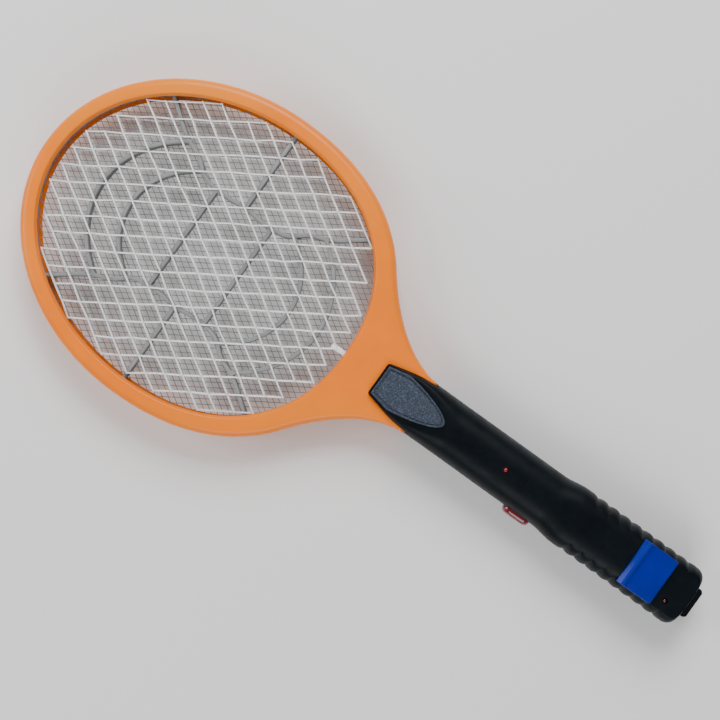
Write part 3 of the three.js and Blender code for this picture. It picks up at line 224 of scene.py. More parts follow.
class Finish:
    """A node material under construction, with its pattern on Object coordinates."""

    def __init__(self, name, base, roughness, metallic=0.0):
        self.material = bpy.data.materials.new(f"swatter_{name}")
        self.material.use_nodes = True
        self.tree = self.material.node_tree
        self.shader = self.tree.nodes["Principled BSDF"]
        self.shader.inputs["Base Color"].default_value = (*base, 1.0)
        self.shader.inputs["Roughness"].default_value = roughness
        self.shader.inputs["Metallic"].default_value = metallic
        self.base = base
        self.place = self.node("ShaderNodeTexCoord").outputs["Object"]
        self.height = None

    def node(self, kind, **settings):
        made = self.tree.nodes.new(kind)
        for key, value in settings.items():
            if key in made.inputs:
                made.inputs[key].default_value = value
            else:
                setattr(made, key, value)
        return made

    def link(self, source, target):
        self.tree.links.new(source, target)

    def noise(self, scale, detail=3.0):
        made = self.node("ShaderNodeTexNoise", Scale=scale, Detail=detail)
        self.link(self.place, made.inputs["Vector"])
        return made.outputs["Fac"]

    def cells(self, scale, feature="F1"):
        made = self.node("ShaderNodeTexVoronoi", feature=feature, Scale=scale)
        self.link(self.place, made.inputs["Vector"])
        return made.outputs["Distance"]

    def ramp(self, source, low, high, dark, light):
        made = self.node("ShaderNodeMapRange")
        made.inputs["From Min"].default_value = low
        made.inputs["From Max"].default_value = high
        made.inputs["To Min"].default_value = dark
        made.inputs["To Max"].default_value = light
        self.link(source, made.inputs["Value"])
        return made.outputs["Result"]

    def mottle(self, source, low, high, other):
        """Mixes a second colour into the base where the pattern is high."""
        self.mix_in(self.ramp(source, low, high, 0.0, 1.0), other)
        return self

    def mix_in(self, share, other):
        mix = self.node("ShaderNodeMix", data_type="RGBA")
        self.link(share, mix.inputs["Factor"])
        first, second = (socket for socket in mix.inputs if socket.type == "RGBA")
        held = self.shader.inputs["Base Color"]
        if held.is_linked:
            self.link(held.links[0].from_socket, first)
        else:
            first.default_value = (*self.base, 1.0)
        second.default_value = (*other, 1.0)
        self.link(next(socket for socket in mix.outputs if socket.type == "RGBA"), held)

    def gloss(self, source, low, high):
        self.link(self.ramp(source, 0.3, 0.7, low, high), self.shader.inputs["Roughness"])
        return self

    def relief(self, source, depth, strength=1.0):
        """Raises the surface by the pattern, on top of any relief it already has."""
        bump = self.node("ShaderNodeBump", Distance=depth, Strength=strength)
        self.link(source, bump.inputs["Height"])
        if self.height:
            self.link(self.height, bump.inputs["Normal"])
        self.height = bump.outputs["Normal"]
        self.link(self.height, self.shader.inputs["Normal"])
        return self

    def painted_edge_highlight(self, other, amount=0.5):
        """Paints a highlight on the edges: lightens them towards another colour where they would catch the
        light.
        """
        edge = self.node("ShaderNodeNewGeometry").outputs["Pointiness"]
        self.mix_in(self.ramp(edge, 0.52, 0.62, 0.0, amount), other)
        return self

    def fixed(self, **values):
        for key, value in values.items():
            self.shader.inputs[key.replace("_", " ")].default_value = value
        return self


def tinted(base, by):
    return tuple(min(1.0, c * by) for c in base)


def moulded(name, base, roughness, shift=0.86, grain=2600.0, depth=0.00003):
    """Injection-moulded plastic: faint clouding, fine grain and a little unevenness in its gloss."""
    made = Finish(name, base, roughness)
    made.mottle(made.noise(38.0), 0.35, 0.75, tinted(base, shift))
    made.gloss(made.noise(170.0), roughness * 0.85, roughness * 1.2)
    made.relief(made.noise(grain, 2.0), depth, 0.35)
    return made


def frame_orange():
    base = bpy.context.scene.swatter_colours.orange
    made = moulded("frame_orange", base, 0.34, shift=0.9)
    made.mottle(made.noise(9.0, 2.0), 0.45, 0.85, (0.96, 0.30, 0.02))
    return made.fixed(Coat_Weight=0.1, Coat_Roughness=0.2, Specular_IOR_Level=0.2).material


def handle_black():
    base = bpy.context.scene.swatter_colours.black
    made = moulded("handle_black", base, 0.4, shift=1.6, depth=0.00005)
    # Painted highlight: the black's edges are lightened to a grey-blue sheen.
    made.painted_edge_highlight((0.01, 0.014, 0.018), 0.4)
    return made.fixed(Specular_IOR_Level=0.12).material


def inlay_grey():
    base = bpy.context.scene.swatter_colours.inlay
    made = Finish("inlay_grey", base, 0.62)
    made.mottle(made.cells(1300.0), 0.1, 0.6, tinted(base, 0.5))
    made.mottle(made.noise(900.0, 4.0), 0.5, 0.75, tinted(base, 1.7))
    made.relief(made.cells(1300.0, "SMOOTH_F1"), 0.0003, 0.8)
    made.fixed(Specular_IOR_Level=0.3)
    return made.relief(made.noise(3000.0), 0.00006, 0.5).material


def plated_wire():
    base = bpy.context.scene.swatter_colours.wire
    made = Finish("grid_wire", base, 0.25, 0.1)
    made.mottle(made.noise(260.0), 0.5, 0.8, tinted(base, 0.72))
    made.gloss(made.noise(600.0), 0.24, 0.44)
    return made.relief(made.noise(2400.0), 0.00003, 0.4).material


def fine_wire():
    made = Finish("fine_wire", (0.2, 0.2, 0.2), 0.4, 0.3)
    made.mottle(made.noise(200.0), 0.4, 0.8, (0.24, 0.24, 0.25))
    return made.relief(made.noise(2400.0), 0.00002, 0.4).material


def spacer_grey():
    base = bpy.context.scene.swatter_colours.spacer
    # Painted highlight: the spacer's edges are lightened to a paler grey.
    return moulded("spacer_grey", base, 0.5, shift=0.75).painted_edge_highlight(tinted(base, 1.4), 0.4).material


def slider_blue():
    base = bpy.context.scene.swatter_colours.blue
    made = moulded("slider_blue", base, 0.26, shift=0.8)
    # Painted highlight: the slider's edges, its front ridge among them, are lightened to a paler blue.
    made.painted_edge_highlight((0.012, 0.06, 0.4), 0.5)
    return made.fixed(Coat_Weight=0.1, Coat_Roughness=0.15, Specular_IOR_Level=0.22).material


def button_red():
    base = bpy.context.scene.swatter_colours.red
    made = moulded("button_red", base, 0.14, shift=0.6, depth=0.00001)
    made.fixed(Coat_Weight=0.6, Coat_Roughness=0.05, Subsurface_Weight=0.25, Subsurface_Scale=0.003)
    return made.fixed(Subsurface_Radius=(0.9, 0.12, 0.1)).material


def lens_red():
    made = Finish("lens_red", (0.12, 0.003, 0.008), 0.12)
    glow = made.ramp(made.noise(700.0), 0.3, 0.7, 0.02, 0.06)
    made.link(glow, made.shader.inputs["Emission Strength"])
    made.mottle(made.noise(500.0), 0.4, 0.7, (0.2, 0.008, 0.012))
    return made.fixed(Emission_Color=(0.9, 0.03, 0.05, 1.0), Coat_Weight=0.5, Coat_Roughness=0.06).material


def lens_dim():
    made = Finish("lens_dim", (0.08, 0.003, 0.007), 0.15)
    made.mottle(made.noise(500.0), 0.4, 0.7, (0.06, 0.003, 0.006))
    return made.fixed(Coat_Weight=0.3, Coat_Roughness=0.1).material


# Pale pink glowing core on the indicator's dome: a painted highlight, made to glow where a glossy dome shows
# a glint.
def lens_painted_highlight():
    made = Finish("lens_painted_highlight", (0.95, 0.62, 0.62), 0.2)
    glow = made.ramp(made.noise(900.0), 0.3, 0.7, 0.7, 1.0)
    made.link(glow, made.shader.inputs["Emission Strength"])
    return made.fixed(Emission_Color=(1.0, 0.66, 0.66, 1.0)).material


def metal(name, base, roughness):
    made = Finish(name, base, roughness, 1.0)
    made.mottle(made.noise(320.0), 0.4, 0.8, tinted(base, 0.7))
    made.gloss(made.noise(900.0), roughness * 0.75, roughness * 1.35)
    return made.relief(made.noise(2600.0, 2.0), 0.00002, 0.3).material


def laminate(name, base):
    """Circuit board: solder mask with copper tracks faintly showing through it."""
    made = Finish(name, base, 0.35)
    made.mottle(made.cells(260.0, "DISTANCE_TO_EDGE"), 0.02, 0.08, tinted(base, 0.6))
    return made.relief(made.noise(1500.0), 0.00002, 0.3).fixed(Coat_Weight=0.4).material


FINISHES = {
    "frame_orange": frame_orange,
    "handle_black": handle_black,
    "inlay_grey": inlay_grey,
    "grid_wire": plated_wire,
    "fine_wire": fine_wire,
    "spacer_grey": spacer_grey,
    "slider_blue": slider_blue,
    "button_red": button_red,
    "lens_red": lens_red,
    "lens_painted_highlight": lens_painted_highlight,
    "lens_dim": lens_dim,
    "blade_brass": lambda: metal("blade_brass", bpy.context.scene.swatter_colours.brass, 0.28),
    "fastener_steel": lambda: metal("fastener_steel", bpy.context.scene.swatter_colours.steel, 0.3),
    "board_green": lambda: laminate("board_green", (0.015, 0.13, 0.035)),
    "ferrite": lambda: moulded("ferrite", (0.04, 0.04, 0.045), 0.6, grain=900.0, depth=0.0001).material,
}


# Base colour, roughness and clouding of the plain mouldings inside.
PLAIN_MOULDINGS = {
    "nylon_dark": ((0.012, 0.014, 0.016), 0.5, 1.6),
    "coil_tape": ((0.62, 0.42, 0.06), 0.4, 0.7),
    "film_capacitor": ((0.25, 0.05, 0.015), 0.3, 0.7),
    "component_black": ((0.01, 0.01, 0.011), 0.45, 1.7),
    "component_tan": ((0.55, 0.42, 0.24), 0.5, 0.8),
    "cell_sleeve": ((0.025, 0.2, 0.08), 0.3, 0.8),
    "lead_red": ((0.4, 0.012, 0.012), 0.45, 0.8),
    "lead_black": ((0.008, 0.009, 0.01), 0.45, 1.6),
    "lead_white": ((0.75, 0.74, 0.7), 0.45, 0.85),
}


def finish(name):
    made = bpy.data.materials.get(f"swatter_{name}")
    if made:
        return made
    if name in PLAIN_MOULDINGS:
        return moulded(name, *PLAIN_MOULDINGS[name]).material
    return FINISHES[name]()


# ------------------------------------------------------------------ mesh tools


def piece(name, bm, finishes, body, replaced, crease=38.0):
    """A finished mesh as an object that rides on a body and stands for its CAD nodes."""
    mesh = bpy.data.meshes.new(name)
    bm.to_mesh(mesh)
    bm.free()
    if "share" in mesh.attributes:
        mesh.attributes.remove(mesh.attributes["share"])
    mesh.shade_smooth()
    mesh.set_sharp_from_angle(angle=math.radians(crease))
    mesh.materials.clear()
    for each in finishes:
        mesh.materials.append(finish(each))
    made = bpy.data.objects.new(name, mesh)
    bpy.context.scene.collection.objects.link(made)
    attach(made, body)
    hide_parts(*replaced)


def once(items):
    """Each item once, in the order met."""
    return list(dict.fromkeys(items))


def loft(bm, sides, stations, place, closed=False, capped=True):
    """Extrudes a circle's edge from station to station; place(share of the turn, station) is each point."""
    share = bm.verts.layers.float.get("share") or bm.verts.layers.float.new("share")
    ring = bmesh.ops.create_circle(bm, segments=sides, radius=1.0)["verts"]
    for v in ring:
        turn = math.atan2(v.co.y, v.co.x) / (2 * math.pi)
        v[share] = (round(turn * sides) % sides) / sides
        v.co = place(v[share], stations[0])
    edges = once(e for v in ring for e in v.link_edges)
    start, made = edges, list(ring)
    for station in stations[1:]:
        grown = bmesh.ops.extrude_edge_only(bm, edges=edges)["geom"]
        ring = [g for g in grown if isinstance(g, bmesh.types.BMVert)]
        in_ring = set(ring)
        edges = [g for g in grown if isinstance(g, bmesh.types.BMEdge) and in_ring.issuperset(g.verts)]
        for v in ring:
            v.co = place(v[share], station)
        made.extend(ring)
    if closed:
        bmesh.ops.bridge_loops(bm, edges=start + edges)
    elif capped:
        bmesh.ops.contextual_create(bm, geom=start)
        bmesh.ops.contextual_create(bm, geom=edges)
    faces = once(f for v in made for f in v.link_faces)
    bmesh.ops.recalc_face_normals(bm, faces=faces)


def rounded(bm, edges, offset, segments, **more):
    bmesh.ops.bevel(
        bm, geom=edges, offset=offset, segments=segments, profile=0.5, affect="EDGES", material=-1, **more
    )


def block(bm, low, high, bevel=0.0, segments=3):
    """A box between two corners, with its edges rounded if asked."""
    low, high = Vector(low), Vector(high)
    size = high - low
    place = Matrix.Translation((low + high) / 2) @ Matrix.Diagonal((*size, 1.0))
    made = bmesh.ops.create_cube(bm, size=1.0, matrix=place)["verts"]
    if bevel:
        edges = once(e for v in made for e in v.link_edges)
        rounded(bm, edges, bevel, segments)


def drum(bm, centre, radius, low, high, sides=40):
    """A cylinder along z."""
    place = Matrix.Translation((*centre, (low + high) / 2))
    bmesh.ops.create_cone(
        bm, cap_ends=True, segments=sides, radius1=radius, radius2=radius, depth=high - low, matrix=place
    )


def lathe(bm, profile, centre, steps=32):
    """Spins a profile of (radius, height) about a line along z."""
    verts = [bm.verts.new((centre[0] + radius, centre[1], height)) for radius, height in profile]
    edges = [bm.edges.new(pair) for pair in zip(verts, verts[1:])]
    bmesh.ops.spin(
        bm,
        geom=verts + edges,
        cent=(*centre, 0.0),
        axis=(0, 0, 1),
        angle=2 * math.pi,
        steps=steps,
        use_merge=True,
    )
    reach = max(p[0] for p in profile) + 1e-6
    near = [v for v in bm.verts if (v.co.xy - Vector(centre)).length < reach]
    bmesh.ops.remove_doubles(bm, verts=near, dist=1e-7)
    faces = once(f for v in near if v.is_valid for f in v.link_faces)
    bmesh.ops.recalc_face_normals(bm, faces=faces)


def tube(bm, points, radius, sides):
    """A round wire through points that lie nearly level."""
    last = len(points) - 1
    turns = []
    for i in range(last + 1):
        along = (points[min(i + 1, last)] - points[max(i - 1, 0)]).normalized()
        turns.append(Vector((-along.y, along.x, 0)).normalized())

    def place(share, i):
        angle = 2 * math.pi * (share + 0.5 / sides)
        return points[i] + radius * (math.cos(angle) * turns[i] + math.sin(angle) * Vector((0, 0, 1)))

    loft(bm, sides, range(last + 1), place)


def as_solid(bm, name):
    mesh = bpy.data.meshes.new(name)
    bm.to_mesh(mesh)
    bm.free()
    made = bpy.data.objects.new(name, mesh)
    bpy.context.scene.collection.objects.link(made)
    return made


def carved(body, *steps):
    """A bmesh made from a solid by steps of (operation, cutting bmesh), worked one after another."""
    target = as_solid(body, "carving")
    cutters = []
    for operation, cutter in steps:
        tool = as_solid(cutter, "cutter")
        cutters.append(tool)
        cut = target.modifiers.new("cut", "BOOLEAN")
        cut.operation, cut.solver, cut.object = operation, "MANIFOLD", tool
    result = target.evaluated_get(bpy.context.evaluated_depsgraph_get())
    made = bmesh.new()
    made.from_mesh(result.data)
    for used in (target, *cutters):
        mesh = used.data
        bpy.data.objects.remove(used)
        bpy.data.meshes.remove(mesh)
    if not made.faces:
        raise RuntimeError("a carved piece came out empty")
    return made


def power(value, exponent):
    return math.copysign(abs(value) ** exponent, value)


def eased(a, b, share):
    share = min(1.0, max(0.0, share))
    return a + (b - a) * share * share * (3 - 2 * share)


def straight(a, b, share):
    return a + (b - a) * min(1.0, max(0.0, share))


def soft_least(a, b, rounding):
    """The lesser of two heights, with the corner between them rounded."""
    gap = max(-1.0, min(1.0, (b - a) / rounding))
    if abs(b - a) >= rounding:
        return min(a, b)
    return (a + b) / 2 - rounding * (1 + gap * gap) / 4


# ------------------------------------------------------------------ outlines of the head


def head_centre():
    return HEAD_TIP_X + bpy.context.scene.swatter_head.tip


def oval(angle, tip, throat, half, squareness):
    """The point of an egg-shaped outline that lies in a direction from the head's centre."""
    c, s = abs(math.cos(angle)), abs(math.sin(angle))
    reach, n = (throat, squareness) if math.cos(angle) > 0 else (tip, 2.0)
    radius = ((c / reach) ** n + (s / half) ** n) ** (-1 / n)
    return Vector((head_centre() + radius * math.cos(angle), radius * math.sin(angle)))


def opening_at(angle, grow=0.0):
    head = bpy.context.scene.swatter_head
    return oval(
        angle, head.opening_tip + grow, head.opening_throat + grow, head.opening_half + grow, head.squareness
    )


def outline_points(round_steps=190, blend_steps=44, end_steps=10):
    """The frame's outer outline from the neck's end round the head and back, as plan points."""
    head = bpy.context.scene.swatter_head
    centre = head_centre()
    share = head.blend_start / head.throat
    start_y = HALF_HEAD_WIDTH * (1 - share**head.squareness) ** (1 / head.squareness)
    start = Vector((centre + head.blend_start, start_y))
    fall = (HALF_HEAD_WIDTH / head.throat) * (share * HALF_HEAD_WIDTH / start_y) ** (head.squareness - 1)
    neck = Vector((start.x + head.neck_length, head.neck_half))
    pull, neck_pull = 12 * MM, 26 * MM
    near = start + Vector((pull, -pull * fall))
    far = neck + Vector((-neck_pull, 1.6 * MM))

    def blend(t):
        u = 1 - t
        return u**3 * neck + 3 * u * u * t * far + 3 * u * t * t * near + t**3 * start

    upper = [Vector((neck.x, neck.y * i / end_steps)) for i in range(end_steps)]
    upper += [blend(i / blend_steps) for i in range(blend_steps)]
    first = math.atan2(start.y, start.x - centre)
    for i in range(round_steps // 2):
        angle = straight(first, math.pi, i / (round_steps // 2))
        upper.append(oval(angle, head.tip, head.throat, HALF_HEAD_WIDTH, head.squareness))
    tip = Vector((HEAD_TIP_X, 0.0))
    return [*upper, tip, *(Vector((p.x, -p.y)) for p in reversed(upper[1:]))]


def in_opening(u, v):
    """A plan point given as shares of the opening's two half lengths."""
    head = bpy.context.scene.swatter_head
    return Vector((head_centre() + u * head.opening_tip, v * head.opening_half))


# ------------------------------------------------------------------ head


def band_profile(head):
    """Stations round the band's section: what they are measured from, how far in, and how high."""
    top = FRONT_HIGH.z - MID_Z
    under = top - head.lip
    steps = 7
    stations = [("outer", 0.28 * MM, SEAM), ("outer", 0.0, SEAM + 0.28 * MM)]
    for i in range(steps + 1):
        angle = math.pi / 2 * i / steps
        inward = head.edge_width * (1 - math.cos(angle))
        stations.append(("outer", inward, top - head.edge_height * (1 - math.sin(angle))))
    stations.append(("inner", head.lip_round * 2.2 + head.lip_slope, top))
    for i in range(steps + 1):
        angle = math.pi / 2 * i / steps
        back = head.lip_round * (1 - math.sin(angle)) + head.lip_slope
        stations.append(("inner", back, top - head.lip_round * (1 - math.cos(angle))))
    stations.append(("inner", 0.0, under + 0.3 * MM))
    stations.append(("inner", 0.3 * MM, under))
    stations.append(("inner", head.seat, under))
    stations.append(("inner", head.seat, SEAM))
    return stations


def frame_half(side):
    """One moulding of the frame: the band with its lip and seat, the throat and the tang."""
    head = bpy.context.scene.swatter_head
    outline = outline_points()
    inner = []
    for p in outline:
        angle = math.atan2(p.y, p.x - head_centre())
        inner.append(opening_at(angle))
    count = len(outline)

    def place(share, station):
        kind, inward, height = station
        i = round(share * count) % count
        across = inner[i] - outline[i]
        gap = across.length
        across = across / gap
        point = outline[i] + across * inward if kind == "outer" else inner[i] - across * inward
        return Vector((point.x, point.y, MID_Z + side * height))

    bm = bmesh.new()
    loft(bm, count, band_profile(head), place, closed=True)
    neck_end = outline[0].x
    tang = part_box("head_front_frame")[1].x
    half = TANG_HALF_WIDTH
    heights = sorted((MID_Z + side * SEAM, MID_Z + side * TANG_HALF_DEPTH))
    tang_bm = bmesh.new()
    block(tang_bm, (neck_end - 6 * MM, -half, heights[0]), (tang, half, heights[1]), 0.5 * MM)
    steps = [("UNION", tang_bm)]
    channel = bmesh.new()
    heights = sorted((MID_Z - side * MM, MID_Z + side * LEAD_CHANNEL))
    start = head_centre() + head.opening_throat - MM
    block(channel, (start, -LEAD_CHANNEL, heights[0]), (tang + MM, LEAD_CHANNEL, heights[1]))
    steps.append(("DIFFERENCE", channel))
    if side < 0:
        steps.append(("DIFFERENCE", screw_wells("head_screw", 6)))
    return carved(bm, *steps)


def screw_wells(stem, count):
    """Round wells over the screws, from the back."""
    wells = bmesh.new()
    for i in range(1, count + 1):
        low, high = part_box(f"{stem}_{i}")
        centre = ((low.x + high.x) / 2, (low.y + high.y) / 2)
        drum(wells, centre, WELL_RADIUS, HANDLE_BACK - 5 * MM, low.z + 1.5 * MM)
        drum(wells, centre, SHANK_HOLE, low.z + 1.5 * MM - 0.1 * MM, high.z + 0.5 * MM, 24)
    return carved(wells)


class BuildFrame(bpy.types.Operator):
    """Build the two orange mouldings of the head"""

    bl_idname = "swatter.build_frame"
    bl_label = "Head Frame"

    def execute(self, context):
        front = frame_half(1)
        piece("frame_front", front, ["frame_orange"], "swatter", ["head_front_frame"])
        rear = frame_half(-1)
        piece("frame_rear", rear, ["frame_orange"], "swatter", ["head_rear_frame"])
        return {"FINISHED"}


def inside_opening(point, grow):
    head = bpy.context.scene.swatter_head
    offset = point - Vector((head_centre(), 0.0))
    towards_throat = offset.x > 0
    reach = (head.opening_throat if towards_throat else head.opening_tip) + grow
    n = head.squareness if towards_throat else 2.0
    return (abs(offset.x) / reach) ** n + (abs(offset.y) / (head.opening_half + grow)) ** n < 1


def wire_layer(pitch, radius, level, reach, seed, every, sides, waver):
    """Two crossing families of wires, each wire ending at its last crossing inside the opening."""
    wires = bpy.context.scene.swatter_wires
    chance = random.Random(seed)
    du = pitch / 2 / math.sin(wires.angle)
    dv = pitch / 2 / math.cos(wires.angle)
    head = bpy.context.scene.swatter_head
    most = int((head.tip + HALF_HEAD_WIDTH) / pitch) + 2
    spots = {}
    for i in range(-most, most + 1):
        for j in range(-most, most + 1):
            point = Vector((head_centre() + (i + j) * du, (i - j) * dv))
            shift = Vector((chance.uniform(-1, 1), chance.uniform(-1, 1))) * waver
            if inside_opening(point, reach):
                spots[i, j] = point + shift
    bm = bmesh.new()
    for family in (0, 1):
        height = level + (0.8 * radius if family else -0.8 * radius)
        for i in range(-most, most + 1):
            keys = [(i, j) if family else (j, i) for j in range(-most, most + 1)]
            kept = [spots[k] for k in keys if k in spots]
            if len(kept) < 2:
                continue
            chosen = kept[::every]
            if chosen[-1] != kept[-1]:
                chosen.append(kept[-1])
            start = (chosen[1] - chosen[0]).normalized() * radius
            end = (chosen[-1] - chosen[-2]).normalized() * radius
            points = [Vector((*p, height)) for p in chosen]
            points[0] -= Vector((*start, 0))
            points[-1] += Vector((*end, 0))
            tube(bm, points, radius, sides)
    return bm


class BuildGrids(bpy.types.Operator):
    """Build the two coarse outer grids and the fine middle mesh"""

    bl_idname = "swatter.build_grids"
    bl_label = "Wire Grids"

    def execute(self, context):
        wires = context.scene.swatter_wires
        level = (GRID_LOW.z + GRID_HIGH.z) / 2
        rear = 2 * MID_Z - level
        fine_pitch = wires.pitch / wires.fine_share
        for name, height, seed, node in (
            ("grid_front", level, wires.seed, "front_grid"),
            ("grid_rear", rear, wires.seed + 1, "rear_grid"),
        ):
            bm = wire_layer(wires.pitch, wires.radius, height, 0.4 * MM, seed, 1, 6, wires.waver)
            self.tab(bm, height)
            piece(name, bm, ["grid_wire"], "swatter", [node], 60.0)
        bm = wire_layer(fine_pitch, wires.fine_radius, MID_Z, 1.6 * MM, wires.seed + 2, 6, 4, wires.waver / 4)
        self.tab(bm, MID_Z)
        piece("mesh_middle", bm, ["fine_wire"], "swatter", ["middle_grid"], 60.0)
        return {"FINISHED"}

    def tab(self, bm, height):
        """The strip that a high-voltage lead is soldered to, under the throat's lip."""
        head = bpy.context.scene.swatter_head
        near = head_centre() + head.opening_throat
        half = 1.5 * MM
        low = (near - 9 * MM, -half, height - 0.2 * MM)
        block(bm, low, (near + 9 * MM, half, height + 0.2 * MM), 0.1 * MM, 2)


def bar(bm, path, width, low, high):
    """A moulded bar along a path, with its long edges rounded."""
    last = len(path) - 1
    sides = 12

    def place(share, i):
        along = (path[min(i + 1, last)] - path[max(i - 1, 0)]).normalized()
        out = Vector((-along.y, along.x))
        angle = 2 * math.pi * (share + 0.5 / sides)
        across = power(math.cos(angle), 0.4) * width / 2
        height = (low + high) / 2 + power(math.sin(angle), 0.4) * (high - low) / 2
        return Vector((*(path[i] + out * across), height))

    loft(bm, sides, range(last + 1), place)


def eased_path(points, steps=7):
    """A smooth path through points, as a Catmull-Rom spline."""
    ends = [2 * points[0] - points[1], *points, 2 * points[-1] - points[-2]]
    path = []
    for a, b, c, d in zip(ends, ends[1:], ends[2:], ends[3:]):
        for i in range(steps):
            t = i / steps
            square, cube = (2 * a - 5 * b + 4 * c - d) * t**2, (3 * b - a - 3 * c + d) * t**3
            path.append(0.5 * (2 * b + (c - a) * t + square + cube))
    return [*path, points[-1]]


def spider_paths():
    """The spacer's spokes, arms, end arcs and rungs, the same on both sides of both axes."""
    split = 0.414
    paths = []
    for up in (1, -1):
        paths.append([in_opening(0, up * split), in_opening(0, up * 1.01)])
        for way in (1, -1):
            arm = [(0, split), (0.157, 0.397), (0.278, 0.425), (0.37, 0.511), (0.5, 0.586), (0.674, 0.749)]
            paths.append(eased_path([in_opening(way * u, up * v) for u, v in arm]))
    for way in (1, -1):
        paths.append([in_opening(way * 0.185, -0.402), in_opening(way * 0.185, 0.402)])
        for along, across, sweep in ((0.722, 0.724, 0.9), (0.528, 0.552, 0.95)):
            arc = []
            for i in range(33):
                angle = straight(-sweep, sweep, i / 32)
                arc.append(in_opening(way * along * math.cos(angle), across * math.sin(angle)))
            paths.append(arc)
    return paths


def spacer_ring(bm, low, high, sides=160):
    """The spacer's rim, clamped in the seat under the lips, with a gap for the leads."""
    head = bpy.context.scene.swatter_head
    outer, inner = head.seat - 0.3 * MM, 1.8 * MM
    gap = 4.5 * MM / head.opening_throat
    path = []
    for i in range(sides + 1):
        angle = straight(gap, 2 * math.pi - gap, i / sides)
        path.append((opening_at(angle, outer) + opening_at(angle, inner)) / 2)
    bar(bm, path, outer - inner, low, high)


class BuildSpacers(bpy.types.Operator):
    """Build the two grey spacers that hold the grids apart"""

    bl_idname = "swatter.build_spacers"
    bl_label = "Spacers"

    def execute(self, context):
        width = context.scene.swatter_wires.bar
        for name, node in (("spacer_front", "front_spacer"), ("spacer_rear", "rear_spacer")):
            low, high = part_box(node)
            rim = bmesh.new()
            spacer_ring(rim, low.z, high.z)
            bars = []
            for path in spider_paths():
                each = bmesh.new()
                bar(each, path, width, low.z, high.z)
                bars.append(("UNION", each))
            bm = carved(rim, *bars)
            for face in bm.faces:
                plan = face.calc_center_median().xy
                face.material_index = int(not inside_opening(plan, MM))
            piece(name, bm, ["spacer_grey", "frame_orange"], "swatter", [node], 50.0)
        return {"FINISHED"}


# ------------------------------------------------------------------ handle


def handle_half_width(x):
    handle = bpy.context.scene.swatter_handle
    s = x - NOSE_X
    corners = [(0.0, handle.nose_half), (16.6 * MM, 15.4 * MM), (21.6 * MM, 16.3 * MM)]
    corners.append((NOSE_OVERLAP, handle.tube_half))
    for (a, low), (b, high) in zip(corners, corners[1:]):
        if s < b:
            return straight(low, high, (s - a) / (b - a))
    grown = eased(handle.tube_half, handle.grip_half, (s - handle.tube_length) / handle.flare)
    return grown - shoulder_drop(x)


def shoulder_drop(x):
    handle = bpy.context.scene.swatter_handle
    t = min(1.0, max(0.0, (x - (TAIL_X - handle.shoulder)) / handle.shoulder))
    return handle.shoulder_drop * (1 - math.sqrt(1 - t * t))


def squareness_at(x):
    handle = bpy.context.scene.swatter_handle
    s = x - NOSE_X
    if s < handle.nose_slope:
        return straight(5.0, 2.5, s / handle.nose_slope)
    return straight(2.5, 3.0, (s - handle.tube_length) / handle.flare)


def nose_top(x):
    """The sloping top of the nose, above the mid-plane."""
    handle = bpy.context.scene.swatter_handle
    rise = HALF_HANDLE_DEPTH - handle.nose_step
    return handle.nose_step + rise * (x - NOSE_X) / handle.nose_slope


def ridge_cut(x):
    """How far the grip's side is cut in: a sharp valley at each whole pitch, round ridges between."""
    handle = bpy.context.scene.swatter_handle
    s = x - NOSE_X - handle.tube_length - handle.flare
    if s < handle.ridge_pitch / 2 or x > TAIL_X - handle.shoulder:
        return 0.0
    phase = abs(math.sin(math.pi * s / handle.ridge_pitch))
    return handle.ridge_depth * (1 - phase**0.75)


def handle_point(share, x, inset=0.0, nose_drop=0.0, ridged=True, track=True):
    handle = bpy.context.scene.swatter_handle
    angle = 2 * math.pi * share
    across, up = math.cos(angle), math.sin(angle)
    exponent = 2 / squareness_at(x)
    on_side = min(1.0, max(0.0, (abs(across) - 0.45) / 0.35))
    cut = ridge_cut(x) * on_side if ridged else 0.0
    y = (handle_half_width(x) - inset - cut) * power(across, exponent)
    z = (HALF_HANDLE_DEPTH - inset - shoulder_drop(x)) * power(up, exponent)
    top = nose_top(x) - nose_drop
    z = math.copysign(soft_least(abs(z), top, 0.9 * MM), z) if abs(z) > 0 else z
    if track and x > track_start() and z > 0:
        z = soft_least(z, handle.track, 0.5 * MM)
    return Vector((x, y, MID_Z + z))


def track_start():
    return SLIDER_LOW.x - 0.4 * MM


def handle_stations():
    """Stations along the handle, close together where its form changes."""
    handle = bpy.context.scene.swatter_handle
    stations = [NOSE_X + s * MM for s in (0.0, 0.25, 0.6, 1.1, 1.8)]
    x = NOSE_X + 4 * MM
    while x < NOSE_X + handle.tube_length:
        stations.append(x)
        x += 2.4 * MM
    grip = NOSE_X + handle.tube_length
    stations += [grip + handle.flare * i / 12 for i in range(13)]
    grip += handle.flare
    end = TAIL_X - handle.shoulder
    ridges = int((end - grip) / handle.ridge_pitch) + 1
    for i in range(ridges):
        for t in (0.0, 0.04, 0.1, 0.18, 0.3, 0.42, 0.5, 0.58, 0.7, 0.82, 0.9, 0.96):
            if 0 < (i + t) * handle.ridge_pitch < end - grip:
                stations.append(grip + (i + t) * handle.ridge_pitch)
    stations += [end + handle.shoulder * math.sin(math.pi / 2 * i / 9) for i in range(10)]
    step = track_start()
    stations = [x for x in stations if abs(x - step) > 0.3 * MM]
    return sorted({*stations, step, step + 0.02 * MM})


def front_edge(x):
    """Rounds the nose's front edge: how far the section is drawn in there."""
    s = (x - NOSE_X) / (1.8 * MM)
    return 0.9 * MM * (1 - math.sqrt(1 - (1 - s) ** 2)) if s < 1 else 0.0


def capsule(share, straight_half, radius):
    angle = 2 * math.pi * (share + 1e-4)
    return (
        math.copysign(straight_half, math.cos(angle)) + radius * math.cos(angle),
        radius * math.sin(angle),
    )


